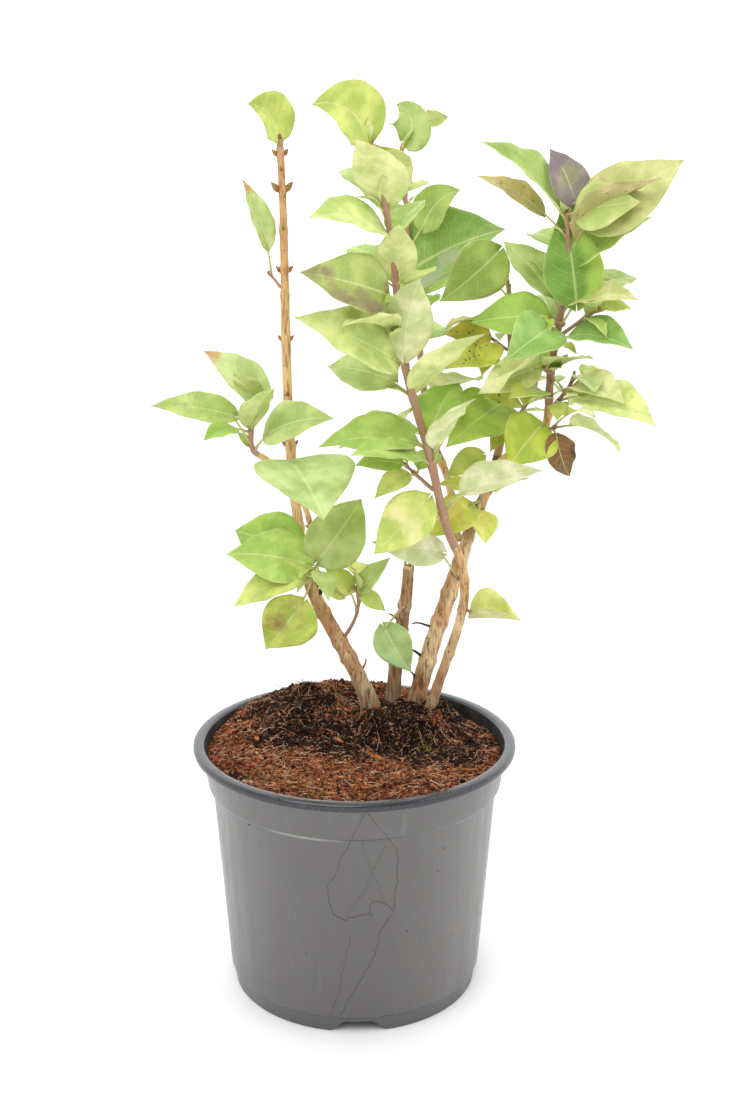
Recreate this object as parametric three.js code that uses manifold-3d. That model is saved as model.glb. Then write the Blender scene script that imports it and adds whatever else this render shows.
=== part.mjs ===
// A potted lilac: a plastic nursery pot, its root ball, four stems with their boughs, and the
// leafy shoots that grow on from them.
// Millimetres and degrees, +Z up, the front of the plant towards -Y.
import * as THREE from 'three';
import { mergeVertices } from 'three/addons/utils/BufferGeometryUtils.js';
import Module from 'manifold-3d';

const wasm = await Module();
wasm.setup();

// ---- Driving dimensions -------------------------------------------------------------------

const clearance = 0.3; // between pieces that touch

const pot = {
  height: 150,
  rimRadius: 94.5,
  lipHeight: 6,
  lipWidth: 6.5, // how far the rolled lip stands out over the collar
  collarHeight: 20,
  collarTaper: 2,
  step: 3, // from the collar in to the wall
  wallTopRadius: 83,
  wallFootRadius: 74.5,
  footHeight: 9,
  footRadius: 72.5,
  footWidth: 7, // of the flat ring that the pot stands on
  floorRise: 7, // underside of the floor above the ground
  thickness: 2,
  segments: 36,
};
const notch = { count: 4, width: 35, topWidth: 16, height: 6.5, turn: 272 };
const drain = { count: 8, radius: 5, ring: 50 };

// The root ball fills the pot. It heaps up behind the middle, and a flat crown carries the stems.
const rootBall = {
  edge: 143,
  sag: 7, // the right back lies lower
  heap: 15,
  heapPlace: [-28, 48],
  heapReach: 38,
  crownHeight: 156,
  crownRadius: 25,
  crownPlace: [31, 28],
};

const leafThickness = 0.8;
const stalkThickness = 1.6;
const leafRows = [-1, 0, 0.09, 0.36, 0.72, 1]; // the leaf's root, then stations along its blade

// A limb is one tapering cubic curve: its control points, and its radius at foot and tip. Stems
// rise from the crown with a flare. A bough leaves the limb it is on at a share of that limb's
// length, so its path starts there: 1 is the tip, and anything less a side.
const crown = rootBall.crownHeight + clearance;
const stems = {
  left_stem: {
    path: [[10.5, 26, crown], [0, 22, 194], [-24, 30, 218], [-29, 30, 246]],
    radius: [5.1, 3.8], flare: 1.4,
  },
  stump: {
    path: [[23, 34.5, crown], [24, 33, 189], [31, 33, 216], [32, 34, 244]],
    radius: [4.4, 3.4], flare: 0.8,
  },
  right_stem: {
    path: [[36.5, 31, crown], [44, 36, 192], [56, 35, 224], [66, 40, 256]],
    radius: [5.2, 4.6], flare: 1,
  },
  front_stem: {
    path: [[45, 21.5, crown], [53, 17, 197], [74, 9, 231], [58, 3, 264]],
    radius: [3, 2.6], flare: 1,
  },
};
const boughs = {
  left_cane: { on: 'left_stem', at: 1, path: [[-37, 39, 409], [-41, 40, 484]], radius: [3.2, 2.1] },
  left_bough: {
    on: 'left_stem', at: 0.9, path: [[-22, 25, 272], [-30, 15, 303], [-54, 14, 316]],
    radius: [1.8, 1.5],
  },
  back_bough: {
    on: 'right_stem', at: 0.9, path: [[60, 48, 268], [59, 53, 288], [52, 58, 303]],
    radius: [2.6, 2.2],
  },
  right_bough: { on: 'right_stem', at: 1, path: [[80, 44, 290], [84, 45, 308]], radius: [3.6, 2.6] },
  right_shoot_bough: {
    on: 'right_bough', at: 0.9, path: [[95, 36, 316], [112, 24, 320], [111, 23, 343]],
    radius: [2.5, 2.3],
  },
};

// What a leaf is unless its shoot or the leaf itself says otherwise.
const usual = {
  stalk: [17, 13], // length of the leaf stalk, on the shoot's first pair and its last
  size: [54, 46], // length of the blade
  rise: 15, // how much steeper the stalk is than the blade
  broad: 0.66, // width over length
  droop: 35, // how far the blade arches down from foot to tip
  fold: 16, // how far its halves lift from the midrib
  bend: 0, // how far the tip swings to the side
  sway: 18, // greatest roll about the midrib
  stray: 14, // greatest turn away from the pair's own
};

// A shoot grows on from a limb's tip or side, as thick as the two diameters say. Its leaves stand
// in opposite pairs at the given shares of its length, each pair a quarter turn on from the last.
// turn is the first leaf's compass, 0 to the right and 90 to the back; lift is the blade's rise
// above the level, from the first pair to the last. own holds what single leaves do differently:
// '0a' and '0b' are the first pair, and null is a leaf that has fallen.
const shoots = {
  front_lower_leaves: {
    on: 'front_stem', at: 1, path: [[47, -4, 304], [40, -10, 328]], thick: [5.2, 4.6],
    seed: 11, turn: 200, lift: [20, 40], pairs: [0.34, 0.79, 0.93],
    own: {
      '0a': { turn: 200, lift: -45, size: 44, rise: 88, roll: -55, stalk: 14, broad: 0.7 },
      '0b': { turn: 344, lift: 33, size: 50, roll: -50, broad: 0.55, stalk: 20 },
      '1a': { turn: 220, lift: 20, size: 44, roll: -25 },
      '1b': { turn: 290, lift: 50, size: 50, broad: 0.45 },
      '2a': { turn: 190, lift: 15, size: 52, roll: -35, broad: 0.6 },
      '2b': { turn: 70, lift: 45, size: 46 },
    },
  },
  front_middle_leaves: {
    on: 'front_lower_leaves', at: 1, path: [[27, -15, 368], [25, -18, 391]], thick: [4.6, 4.2],
    seed: 12, turn: 65, lift: [35, 30], pairs: [0.42, 0.7, 0.92],
    own: {
      '0a': { turn: 160, lift: 20, size: 42, roll: -45, broad: 0.75 },
      '0b': { turn: 330, lift: 50, size: 54, broad: 0.5, stalk: 6, roll: -20 },
      '1a': { turn: 220, lift: 30, size: 62, roll: -60, rise: 0, stalk: 10 },
      '1b': { turn: 265, lift: 82, size: 50, broad: 0.6, rise: -30, stalk: 9, bend: 20 },
      '2a': { turn: 230, lift: 22, size: 40 },
      '2b': { turn: 65, lift: 30, size: 42 },
    },
  },
  front_top_leaves: {
    on: 'front_middle_leaves', at: 1, path: [[19, -23, 456], [9, -25, 487]], thick: [4.2, 2.8],
    seed: 13, turn: 10, lift: [25, 55], pairs: [0.16, 0.22, 0.42, 0.64, 1],
    own: {
      '0a': { turn: 222, lift: 20, size: 49, rise: 5, roll: -70, stalk: 11, broad: 0.7 },
      '0b': { turn: 70, lift: 20, size: 38 },
      '1a': { turn: 265, lift: 75, size: 36, broad: 0.62, stalk: 6 },
      '1b': { turn: 120, lift: 25, size: 40 },
      '2a': { turn: 220, lift: 30, size: 46, rise: 30, roll: -35, broad: 0.75 },
      '2b': { turn: 65, lift: 40, size: 36 },
      '3a': { turn: 230, lift: 70, size: 42, stalk: 5, broad: 0.75 },
      '3b': { turn: 130, lift: 35, size: 36, roll: -20 },
      '4a': { turn: 225, lift: 60, size: 44, bend: 75, droop: 8, stalk: 4, broad: 0.8, roll: -90 },
      '4b': { turn: 50, lift: -25, size: 30 },
    },
  },
  back_leaves: {
    on: 'back_bough', at: 1, path: [[41, 63, 354], [37, 65, 381]], thick: [4.4, 3.6],
    seed: 21, turn: 30, lift: [15, 35], pairs: [0.16, 0.47, 0.85],
    own: {
      '1a': { turn: 135, lift: -45, size: 46 },
      '2a': { turn: 65, lift: 15, size: 40 },
      '2b': { turn: 135, lift: 20, size: 42, roll: -30 },
    },
  },
  back_top_leaves: {
    on: 'back_leaves', at: 1, path: [[31, 66, 449], [27, 68, 483]], thick: [3.4, 2.2],
    seed: 22, turn: 50, lift: [35, 50], pairs: [0.1, 0.39, 0.45, 0.7, 1],
    own: {
      '0b': { turn: 135, lift: 45 },
      '1a': { turn: 330, lift: 32, size: 60, rise: -85, roll: 60, stalk: 5, broad: 0.95, droop: 20 },
      '1b': { turn: 120, lift: 50, size: 42 },
      '2a': {
        turn: 325, lift: 70, size: 36, rise: -15, roll: 80, stalk: 16, broad: 0.72,
        bend: -60, droop: 5,
      },
      '2b': { turn: 90, lift: 25, size: 40 },
      '3a': { turn: 85, lift: 20, size: 34 },
      '3b': { turn: 135, lift: 50, size: 30 },
      '4a': { turn: 330, lift: 31, size: 27, rise: 43, roll: 100, stalk: 6, broad: 1, bend: 140, droop: 5 },
      '4b': { turn: 340, lift: 27, size: 18, rise: 21, roll: -50, stalk: 20 },
    },
  },
  right_middle_leaves: {
    on: 'right_bough', at: 1, path: [[92, 44, 370], [88, 42, 410]], thick: [5, 3],
    seed: 31, turn: 220, lift: [0, 30], pairs: [0.33, 0.53, 0.74, 0.92],
    own: {
      '0a': { turn: 240, lift: -5, size: 54, roll: -30, stalk: 8 },
      '0b': { turn: 45, lift: 40, size: 42 },
      '1a': { turn: 235, lift: 15, size: 46, roll: -35 },
      '1b': { turn: 280, lift: -15, size: 30 },
      '2a': { turn: 210, lift: 20, size: 40 },
      '2b': { turn: 65, lift: -15, size: 40 },
      '3a': { turn: 210, lift: -40, size: 44, rise: 113, roll: -70, stalk: 29, broad: 0.75 },
      '3b': { turn: 120, lift: 15, size: 34 },
    },
  },
  right_shoot_leaves: {
    on: 'right_shoot_bough', at: 1, path: [[122, 9, 413], [115, 7, 450]], thick: [4.6, 2.6],
    seed: 41, turn: 190, lift: [10, 60],
    pairs: [0.04, 0.17, 0.33, 0.41, 0.49, 0.56, 0.64, 0.77, 0.88, 0.96, 1],
    own: {
      '0a': { turn: 240, lift: 10, size: 34, roll: -20 },
      '0b': { turn: 60, lift: -10, size: 30 },
      '1a': { turn: 225, lift: 5, size: 42, roll: 30 },
      '1b': { turn: 305, lift: 30, size: 32, stalk: 6 },
      '2a': { turn: 95, lift: 30, size: 50, roll: -25 },
      '2b': { turn: 310, lift: 9, size: 40, rise: 18, roll: 25, stalk: 15, broad: 0.75 },
      '3a': { turn: 245, lift: -5, size: 44, roll: -35 },
      '3b': { turn: 300, lift: 99, size: 52, rise: -52, roll: 145, stalk: 23, broad: 0.66, droop: 5 },
      '4a': { turn: 150, lift: 48, size: 44, roll: -30 },
      '4b': { turn: 310, lift: 25, size: 42, roll: 25 },
      '5a': { turn: 25, lift: 30, size: 42, rise: -15, roll: 20 },
      '5b': { turn: 115, lift: 35, size: 34 },
      '6a': { turn: 340, lift: 45, size: 46, roll: 40, stalk: 16 },
      '6b': { turn: 45, lift: -10, size: 34 },
      '7a': { turn: 325, lift: 50, size: 56, roll: -15, broad: 0.55, stalk: 18 },
      '7b': { turn: 115, lift: 25, size: 36 },
      '8a': { turn: 190, lift: 44, size: 41, rise: 0, roll: -45, stalk: 22, broad: 0.45 },
      '8b': { turn: 65, lift: 40, size: 40 },
      '9a': { turn: 205, lift: 50, size: 54, rise: 0, roll: -38, broad: 0.8 },
      '9b': { turn: 340, lift: 39, size: 60, rise: -35, roll: 70, stalk: 13, broad: 0.66 },
      '10a': { turn: 165, lift: 73, size: 36, rise: 57, roll: -60, stalk: 8, broad: 0.65 },
      '10b': { turn: 320, lift: 15, size: 35, rise: 0, roll: 70, stalk: 8, broad: 0.8 },
    },
  },
  right_low_leaves: {
    on: 'right_shoot_bough', at: 0.93, path: [[117, 18, 349], [122, 14, 355], [123, 12, 362]],
    thick: [2.4, 1.8],
    seed: 51, turn: 300, lift: [10, 30], pairs: [0.1, 0.46, 0.86],
    own: {
      '0a': { turn: 312, lift: 2, size: 50, stalk: 20, roll: 20 },
      '0b': { turn: 265, lift: -10, size: 16 },
      '1a': { turn: 300, lift: 15, size: 40, stalk: 9, roll: 20 },
      '1b': { turn: 105, lift: 5, size: 26 },
      '2a': { turn: 40, lift: 0, size: 30 },
      '2b': { turn: 285, lift: 0, size: 24 },
    },
  },
  right_foot_leaves: {
    on: 'right_shoot_bough', at: 0.72, path: [[111, 16, 330], [112, 12, 332], [112, 8, 333]],
    thick: [2.6, 2],
    seed: 52, turn: 250, lift: [-30, -30], pairs: [0.5, 0.9],
    own: {
      '0a': { turn: 228, lift: -25, size: 32, rise: 44, roll: -45, stalk: 10, broad: 1.05 },
      '0b': { turn: 320, lift: 0, size: 38, roll: -30 },
      '1a': { turn: 280, lift: -55, size: 26, rise: 30, stalk: 8, bend: 40, droop: 60 },
      '1b': { turn: 45, lift: 10, size: 26 },
    },
  },
  fork_leaves: {
    on: 'right_bough', at: 0.4, path: [[75, 35, 283], [74, 30, 288], [74, 24, 294]], thick: [3.4, 2.4],
    seed: 53, turn: 350, lift: [10, 30], pairs: [0.52, 0.8, 1],
    own: {
      '0a': { turn: 290, lift: -35, size: 22, rise: -85, stalk: 10, broad: 1 },
      '0b': { turn: 220, lift: -23, size: 32, rise: 10, roll: -40, stalk: 10, broad: 0.8 },
      '1a': { turn: 288, lift: 30, size: 20, stalk: 9 },
      '1b': { turn: 200, lift: 28, size: 24, rise: 0, roll: -30, stalk: 4 },
      '2a': { turn: 345, lift: 42, size: 21, rise: -50, stalk: 9 },
      '2b': { turn: 200, lift: -16, size: 25, rise: 105, roll: -50, stalk: 20 },
    },
  },
  left_shoot_leaves: {
    on: 'left_bough', at: 1, path: [[-55, 12, 336], [-58, 12, 345]], thick: [3.2, 2.4],
    seed: 61, turn: 200, lift: [20, 50], pairs: [0.12, 0.49, 0.94],
    own: {
      '0a': { turn: 190, lift: 19, size: 48, rise: 42, roll: -50, stalk: 24, broad: 0.42 },
      '0b': { turn: 330, lift: 35, size: 42, roll: 45, stalk: 14, broad: 0.75 },
      '1a': { turn: 235, lift: 5, size: 24, roll: -20 },
      '1b': { turn: 290, lift: 55, size: 40, stalk: 6, broad: 0.5 },
      '2a': { turn: 165, lift: 52, size: 47, rise: 90, roll: -45, stalk: 8, broad: 0.5 },
      '2b': { turn: 245, lift: 65, size: 26, stalk: 4 },
    },
  },
  heart_leaf: {
    on: 'left_bough', at: 0.62, path: [[-30, 16, 298], [-33, 12, 301], [-37, 7, 305]], thick: [2.6, 2],
    seed: 62, turn: 270, lift: [-30, -30], pairs: [0.95],
    own: {
      '0a': { turn: 295, lift: -15, size: 50, rise: 80, broad: 1.22, roll: 0, stalk: 10, bend: 0 },
      '0b': null,
    },
  },
  left_lower_leaves: {
    on: 'left_stem', at: 0.93, path: [[-23, 21, 246], [-22, 14, 249], [-23, 8, 250]], thick: [3.2, 2.4],
    seed: 63, turn: 180, lift: [0, 30], pairs: [0.25, 0.5, 0.8],
    own: {
      '0a': { turn: 165, lift: 15, size: 48, rise: 40, roll: -70, stalk: 14, broad: 0.8 },
      '0b': { turn: 345, lift: 52, size: 48, roll: 105, stalk: 8, broad: 0.75, droop: 70 },
      '1a': { turn: 185, lift: 20, size: 48, roll: -45, stalk: 6, broad: 0.8 },
      '1b': { turn: 285, lift: -5, size: 26 },
      '2a': { turn: 195, lift: -10, size: 46, rise: -10, roll: -30, stalk: 8 },
      '2b': { turn: 200, lift: -50, size: 37, rise: -18, roll: -80, stalk: 21, broad: 0.95 },
    },
  },
  low_twig_leaves: {
    on: 'left_stem', at: 0.44, path: [[-1, 23, 212], [5, 20, 223], [1, 18, 235]], thick: [2.4, 1.6],
    seed: 64, turn: 180, lift: [20, 40], pairs: [0.57, 0.85, 0.99],
    own: {
      '0a': { turn: 200, lift: 55, size: 23, rise: 18, roll: -60, stalk: 14 },
      '0b': { turn: 350, lift: -30, size: 18, rise: 105, roll: 60, stalk: 12, broad: 0.6 },
      '1a': { turn: 255, lift: 80, size: 17, rise: 0, roll: -60, stalk: 8, broad: 0.8 },
      '1b': { turn: 340, lift: 55, size: 27, rise: 21, roll: 60, stalk: 5, broad: 0.55 },
      '2a': { turn: 195, lift: 38, size: 18, rise: -60, roll: -60, stalk: 8, broad: 0.6 },
      '2b': { turn: 85, lift: 15, size: 26 },
    },
  },
  stump_leaf: {
    on: 'stump', at: 0.72, path: [[28, 24, 222], [25, 18, 222], [25, 12, 221]], thick: [2, 1.6],
    seed: 65, turn: 270, lift: [-60, -60], pairs: [0.9],
    own: {
      '0a': { turn: 330, lift: -56, size: 33, rise: -78, roll: 60, stalk: 13, broad: 0.7 },
      '0b': null,
    },
  },
  yellow_leaf: {
    on: 'front_stem', at: 0.62, path: [[70, 8, 224], [71, 7, 224], [72, 6, 225]], thick: [1.8, 1.6],
    seed: 66, turn: 0, lift: [0, 0], pairs: [0.2],
    own: {
      '0a': {
        turn: 350, lift: 6, size: 28, rise: -80, roll: 30, stalk: 4, broad: 1.35,
        fold: 65, droop: 5,
      },
      '0b': null,
    },
  },
  cream_leaf: {
    on: 'front_stem', at: 0.8, path: [[60, 8, 244], [59, 9, 245], [58, 9, 246]], thick: [1.8, 1.6],
    seed: 67, turn: 180, lift: [5, 5], pairs: [0.3],
    own: {
      '0a': { turn: 195, lift: 14, size: 42, rise: 44, roll: -70, stalk: 20, broad: 0.5, droop: 8 },
      '0b': null,
    },
  },
  cane_tip_leaf: {
    on: 'left_cane', at: 1, path: [[-41, 40, 488], [-41, 39, 490]], thick: [3.8, 3],
    seed: 71, turn: 90, lift: [70, 70], pairs: [0.5],
    own: {
      '0a': { turn: 235, lift: 75, size: 34, bend: 80, droop: 5, stalk: 3, broad: 0.9, roll: -90, rise: 0 },
      '0b': null,
    },
  },
  cane_side_leaf: {
    on: 'left_cane', at: 0.66, path: [[-45, 37, 413], [-46, 36, 414], [-47, 36, 415]], thick: [1.8, 1.6],
    seed: 72, turn: 190, lift: [60, 60], pairs: [1],
    own: {
      '0a': { turn: 200, lift: 78, size: 40, rise: 5, roll: -60, stalk: 17, broad: 0.45 },
      '0b': null,
    },
  },
};

// ---- Solids -------------------------------------------------------------------------------

function solidOf(geometry) {
  geometry.deleteAttribute('normal');
  geometry.deleteAttribute('uv');
  const merged = mergeVertices(geometry, 1e-4);
  return new wasm.Manifold(new wasm.Mesh({
    numProp: 3,
    vertProperties: merged.attributes.position.array,
    triVerts: new Uint32Array(merged.index.array),
  }));
}

function geometryOf(solid) {
  const { vertProperties, triVerts } = solid.getMesh();
  const geometry = new THREE.BufferGeometry();
  geometry.setAttribute('position', new THREE.BufferAttribute(vertProperties, 3));
  geometry.setIndex(new THREE.BufferAttribute(triVerts, 1));
  geometry.computeVertexNormals();
  return geometry;
}

const mix = THREE.MathUtils.lerp;
const radians = THREE.MathUtils.degToRad;
const vector = (point) => new THREE.Vector3(...point);

// ---- Pot and root ball --------------------------------------------------------------------

function wallRadius(height) {
  const share = (height - pot.footHeight) / (pot.height - pot.collarHeight - pot.footHeight);
  return mix(pot.wallFootRadius, pot.wallTopRadius, share);
}

function makePot() {
  const lipFoot = pot.height - pot.lipHeight;
  const collarFoot = pot.height - pot.lipHeight - pot.collarHeight;
  const collarRadius = pot.rimRadius - pot.lipWidth;
  const innerFoot = pot.floorRise + pot.thickness;
  const profile = [
    [0, pot.floorRise],
    [pot.footRadius - pot.footWidth, pot.floorRise],
    [pot.footRadius - pot.footWidth, 0],
    [pot.footRadius, 0],
    [pot.footRadius + 0.8, pot.footHeight],
    [pot.wallFootRadius, pot.footHeight + 1],
    [pot.wallTopRadius, collarFoot - 1],
    [pot.wallTopRadius + pot.step, collarFoot],
    [collarRadius, lipFoot],
    [pot.rimRadius - 0.5, lipFoot],
    [pot.rimRadius, lipFoot + 1],
    [pot.rimRadius, pot.height - 1],
    [pot.rimRadius - 1.5, pot.height],
    [collarRadius, pot.height],
    [collarRadius - pot.thickness, pot.height - 2],
    [collarRadius - pot.thickness, lipFoot],
    [pot.wallTopRadius + pot.step - pot.thickness, collarFoot],
    [pot.wallTopRadius - pot.thickness, collarFoot - 2],
    [pot.wallFootRadius - pot.thickness, innerFoot + 4],
    [pot.wallFootRadius - pot.thickness - 4, innerFoot],
    [0, innerFoot],
  ].map(([radius, height]) => new THREE.Vector2(radius, height));
  const body = new THREE.LatheGeometry(profile, pot.segments);
  body.rotateX(Math.PI / 2);
  let solid = solidOf(body);
  for (let i = 0; i < notch.count; i++) {
    solid = solid.subtract(makeNotch(notch.turn + (i * 360) / notch.count));
  }
  for (let i = 0; i < drain.count; i++) {
    const around = ((i + 0.5) * 2 * Math.PI) / drain.count;
    const hole = new THREE.CylinderGeometry(drain.radius, drain.radius, 6 * pot.thickness, 8);
    hole.rotateX(Math.PI / 2);
    hole.translate(drain.ring * Math.cos(around), drain.ring * Math.sin(around), pot.floorRise);
    solid = solid.subtract(solidOf(hole));
  }
  return solid;
}

// A wedge with sloping sides that opens the foot ring to the ground.
function makeNotch(turn) {
  const outline = new THREE.Shape([
    new THREE.Vector2(-notch.width / 2, -1),
    new THREE.Vector2(notch.width / 2, -1),
    new THREE.Vector2(notch.topWidth / 2, notch.height),
    new THREE.Vector2(-notch.topWidth / 2, notch.height),
  ]);
  const wedge = new THREE.ExtrudeGeometry(outline, { depth: 16, bevelEnabled: false });
  wedge.rotateX(Math.PI / 2);
  wedge.translate(0, pot.footRadius - pot.footWidth + 13, 0);
  wedge.rotateZ(radians(turn - 90));
  return solidOf(wedge);
}

function soilHeight(x, y) {
  const [heapX, heapY] = rootBall.heapPlace;
  const away = ((x - heapX) ** 2 + (y - heapY) ** 2) / rootBall.heapReach ** 2;
  const right = Math.max(0, (x + y) / (2 * pot.rimRadius));
  return rootBall.edge + rootBall.heap * Math.exp(-away) - rootBall.sag * right;
}

function makeRootBall() {
  const top = pot.height - pot.lipHeight - pot.collarHeight - 2;
  const edge = pot.rimRadius - pot.lipWidth - pot.thickness - 3;
  const bottom = pot.floorRise + pot.thickness + clearance;
  const rings = [0.92, 0.75, 0.55, 0.35, 0.15, 0];
  const profile = [
    [0, bottom],
    [pot.wallFootRadius - pot.thickness - 5, bottom],
    [pot.wallFootRadius - pot.thickness - clearance - 0.5, bottom + 5],
    [pot.wallTopRadius - pot.thickness - clearance - 0.3, top],
    [edge, top + 5],
    [edge, rootBall.edge],
    ...rings.map((share) => [edge * share, rootBall.edge]),
  ].map(([radius, height]) => new THREE.Vector2(radius, height));
  const body = new THREE.LatheGeometry(profile, pot.segments);
  body.rotateX(Math.PI / 2);
  const position = body.attributes.position;
  for (let i = 0; i < position.count; i++) {
    if (position.getZ(i) > rootBall.edge - 0.1) {
      position.setZ(i, soilHeight(position.getX(i), position.getY(i)));
    }
  }
  const depth = 20;
  const spread = 0.6 * depth;
  const mound = new THREE.CylinderGeometry(rootBall.crownRadius, rootBall.crownRadius + spread, depth, 20);
  mound.rotateX(Math.PI / 2);
  mound.translate(...rootBall.crownPlace, rootBall.crownHeight - depth / 2);
  return solidOf(body).add(solidOf(mound));
}

// ---- Limbs --------------------------------------------------------------------------------

// A tapering round limb along a curve. A flare widens its foot, whose cut is then level.
function makeLimb(curve, radius, sides, steps, flare = 0) {
  const geometry = new THREE.CylinderGeometry(1, 1, 1, sides, steps);
  const position = geometry.attributes.position;
  const chord = curve.getPoint(1).sub(curve.getPoint(0)).normalize();
  const across = Math.abs(chord.y) > 0.8 ? new THREE.Vector3(1, 0, 0) : new THREE.Vector3(0, 1, 0);
  for (let i = 0; i < position.count; i++) {
    const share = position.getY(i) + 0.5;
    const along = flare > 0 && share < 1e-6 ? new THREE.Vector3(0, 0, 1) : curve.getTangent(share);
    const side = new THREE.Vector3().crossVectors(along, across).normalize();
    const other = new THREE.Vector3().crossVectors(side, along);
    const reach = mix(radius[0], radius[1], share) + flare * Math.exp(-14 * share);
    const point = curve.getPoint(share);
    point.addScaledVector(side, position.getX(i) * reach);
    point.addScaledVector(other, position.getZ(i) * reach);
    position.setXYZ(i, point.x, point.y, point.z);
  }
  return solidOf(geometry);
}

// The curve of a limb or shoot that grows on from another: straight on from its tip, or out of
// its side towards the first point of its path.
function growOn(parent, at, path, ownRadius) {
  const start = parent.curve.getPoint(at);
  const points = path.map(vector);
  if (at === 1) {
    const along = parent.curve.getTangent(1);
    start.addScaledVector(along, clearance);
    const reach = start.distanceTo(points[points.length - 1]) / 3;
    const second = start.clone().addScaledVector(along, reach);
    return new THREE.CubicBezierCurve3(start, second, ...points);
  }
  const out = points[0].clone().sub(start).normalize();
  const along = parent.curve.getTangent(at);
  const slant = Math.abs(out.dot(along));
  const parentRadius = mix(parent.radius[0], parent.radius[1], at);
  const square = Math.sqrt(1 - slant * slant);
  start.addScaledVector(out, (parentRadius + clearance + ownRadius * slant) / square);
  return new THREE.CubicBezierCurve3(start, ...points);
}

// ---- Leaves -------------------------------------------------------------------------------

class Dice {
  constructor(seed) {
    this.state = seed;
  }

  roll() {
    this.state = (Math.imul(this.state, 1664525) + 1013904223) >>> 0;
    return this.state / 4294967296;
  }

  about(middle, spread) {
    return middle + (2 * this.roll() - 1) * spread;
  }
}

// The leaves of a shoot: opposite pairs, each a quarter turn on, by the shoot's own dice.
function dealLeaves(shoot, curve) {
  const dice = new Dice(shoot.seed);
  const last = Math.max(1, shoot.pairs.length - 1);
  const leaves = [];
  shoot.pairs.forEach((at, pair) => {
    const share = pair / last;
    ['a', 'b'].forEach((letter, side) => {
      const leaf = {
        turn: dice.about(shoot.turn + 90 * pair + 180 * side, usual.stray),
        lift: dice.about(mix(shoot.lift[0], shoot.lift[1], share), 8),
        roll: dice.about(0, usual.sway),
        stalk: dice.about(mix(usual.stalk[0], usual.stalk[1], share), 2),
        size: dice.about(mix(usual.size[0], usual.size[1], share), 4),
        broad: dice.about(usual.broad, 0.05),
        droop: dice.about(usual.droop, 12),
        fold: dice.about(usual.fold, 6),
        bend: dice.about(usual.bend, 12),
        rise: usual.rise,
        root: curve.getPoint(at),
      };
      const own = shoot.own[pair + letter];
      if (own !== null) leaves.push({ ...leaf, ...own });
    });
  });
  return leaves;
}

// Half the width of a lilac blade at a share of its length: a heart with a drawn-out tip.
function halfWidth(share) {
  return Math.sin(Math.PI * share ** 0.6) * (1 - 0.3 * share ** 8);
}

// Where the stalk meets the blade, and the blade's directions there: along, sideways and up.
function leafFrame(leaf) {
  const turn = radians(leaf.turn);
  const lift = radians(leaf.lift);
  const steep = radians(leaf.lift + leaf.rise);
  const roll = radians(leaf.roll);
  const heading = (angle) => new THREE.Vector3(
    Math.cos(angle) * Math.cos(turn), Math.cos(angle) * Math.sin(turn), Math.sin(angle));
  const foot = leaf.root.clone().addScaledVector(heading(steep), leaf.stalk);
  const along = heading(lift);
  const level = new THREE.Vector3(-Math.sin(turn), Math.cos(turn), 0);
  const upright = new THREE.Vector3().crossVectors(along, level);
  const side = level.clone().multiplyScalar(Math.cos(roll)).addScaledVector(upright, Math.sin(roll));
  const up = upright.multiplyScalar(Math.cos(roll)).addScaledVector(level, -Math.sin(roll));
  return { foot, along, side, up };
}

// A point of the blade at a share of its length, and across from -1 to 1, with its normal.
function leafPoint(leaf, frame, share, across) {
  const droop = radians(leaf.droop);
  const bend = radians(leaf.bend);
  const fold = radians(leaf.fold);
  const inner = share > 0 && share < 1;
  const place = share - (inner ? 0.1 * Math.exp(-9 * share) * Math.abs(across) : 0);
  const forward = (at) => frame.along.clone().multiplyScalar(Math.cos(droop * at))
    .addScaledVector(frame.up, -Math.sin(droop * at));
  const heading = forward(place / 2).multiplyScalar(Math.cos((bend * place) / 2))
    .addScaledVector(frame.side, Math.sin((bend * place) / 2));
  const sag = 1 - ((droop * droop + bend * bend) * place * place) / 24;
  const point = frame.foot.clone().addScaledVector(heading, leaf.size * place * sag);
  const side = frame.side.clone().multiplyScalar(Math.cos(bend * place))
    .addScaledVector(forward(place), -Math.sin(bend * place));
  const up = frame.along.clone().multiplyScalar(Math.sin(droop * place))
    .addScaledVector(frame.up, Math.cos(droop * place));
  const least = share < 0.5 ? stalkThickness / 2 : leafThickness / 2;
  const width = Math.max(least, (halfWidth(share) * leaf.size * leaf.broad) / 2) * across;
  point.addScaledVector(side, width * Math.cos(fold));
  point.addScaledVector(up, Math.abs(width) * Math.sin(fold));
  return { point, up };
}

// Where the leaf's stalk is rooted, on the twig's axis.
function rootPoint(leaf, frame, across) {
  const stalk = frame.foot.clone().sub(leaf.root).normalize();
  const up = new THREE.Vector3().crossVectors(stalk, frame.side).normalize();
  const point = leaf.root.clone().addScaledVector(frame.side, (across * stalkThickness) / 2);
  return { point, up };
}

// A leaf is one thin closed body: a narrow stalk whose root is sunk in the twig, and the blade.
function makeLeaf(leaf, extra = 0) {
  const frame = leafFrame(leaf);
  const steps = leafRows.length - 1;
  const geometry = new THREE.BoxGeometry(1, 1, 1, 2, steps, 1);
  const position = geometry.attributes.position;
  for (let i = 0; i < position.count; i++) {
    const row = Math.round((position.getY(i) + 0.5) * steps);
    const across = -2 * position.getX(i);
    const { point, up } = row === 0
      ? rootPoint(leaf, frame, across)
      : leafPoint(leaf, frame, leafRows[row], across);
    const thickness = row < 2 ? stalkThickness : leafThickness;
    point.addScaledVector(up, position.getZ(i) * (thickness + extra));
    position.setXYZ(i, point.x, point.y, point.z);
  }
  return solidOf(geometry);
}

// ---- Scene graph --------------------------------------------------------------------------

const plant = new THREE.Group();
const bark = { color: 0x9a7350, roughness: 0.85, metalness: 0 };
const twigBark = { color: 0x86a23c, roughness: 0.6, metalness: 0 };

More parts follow.
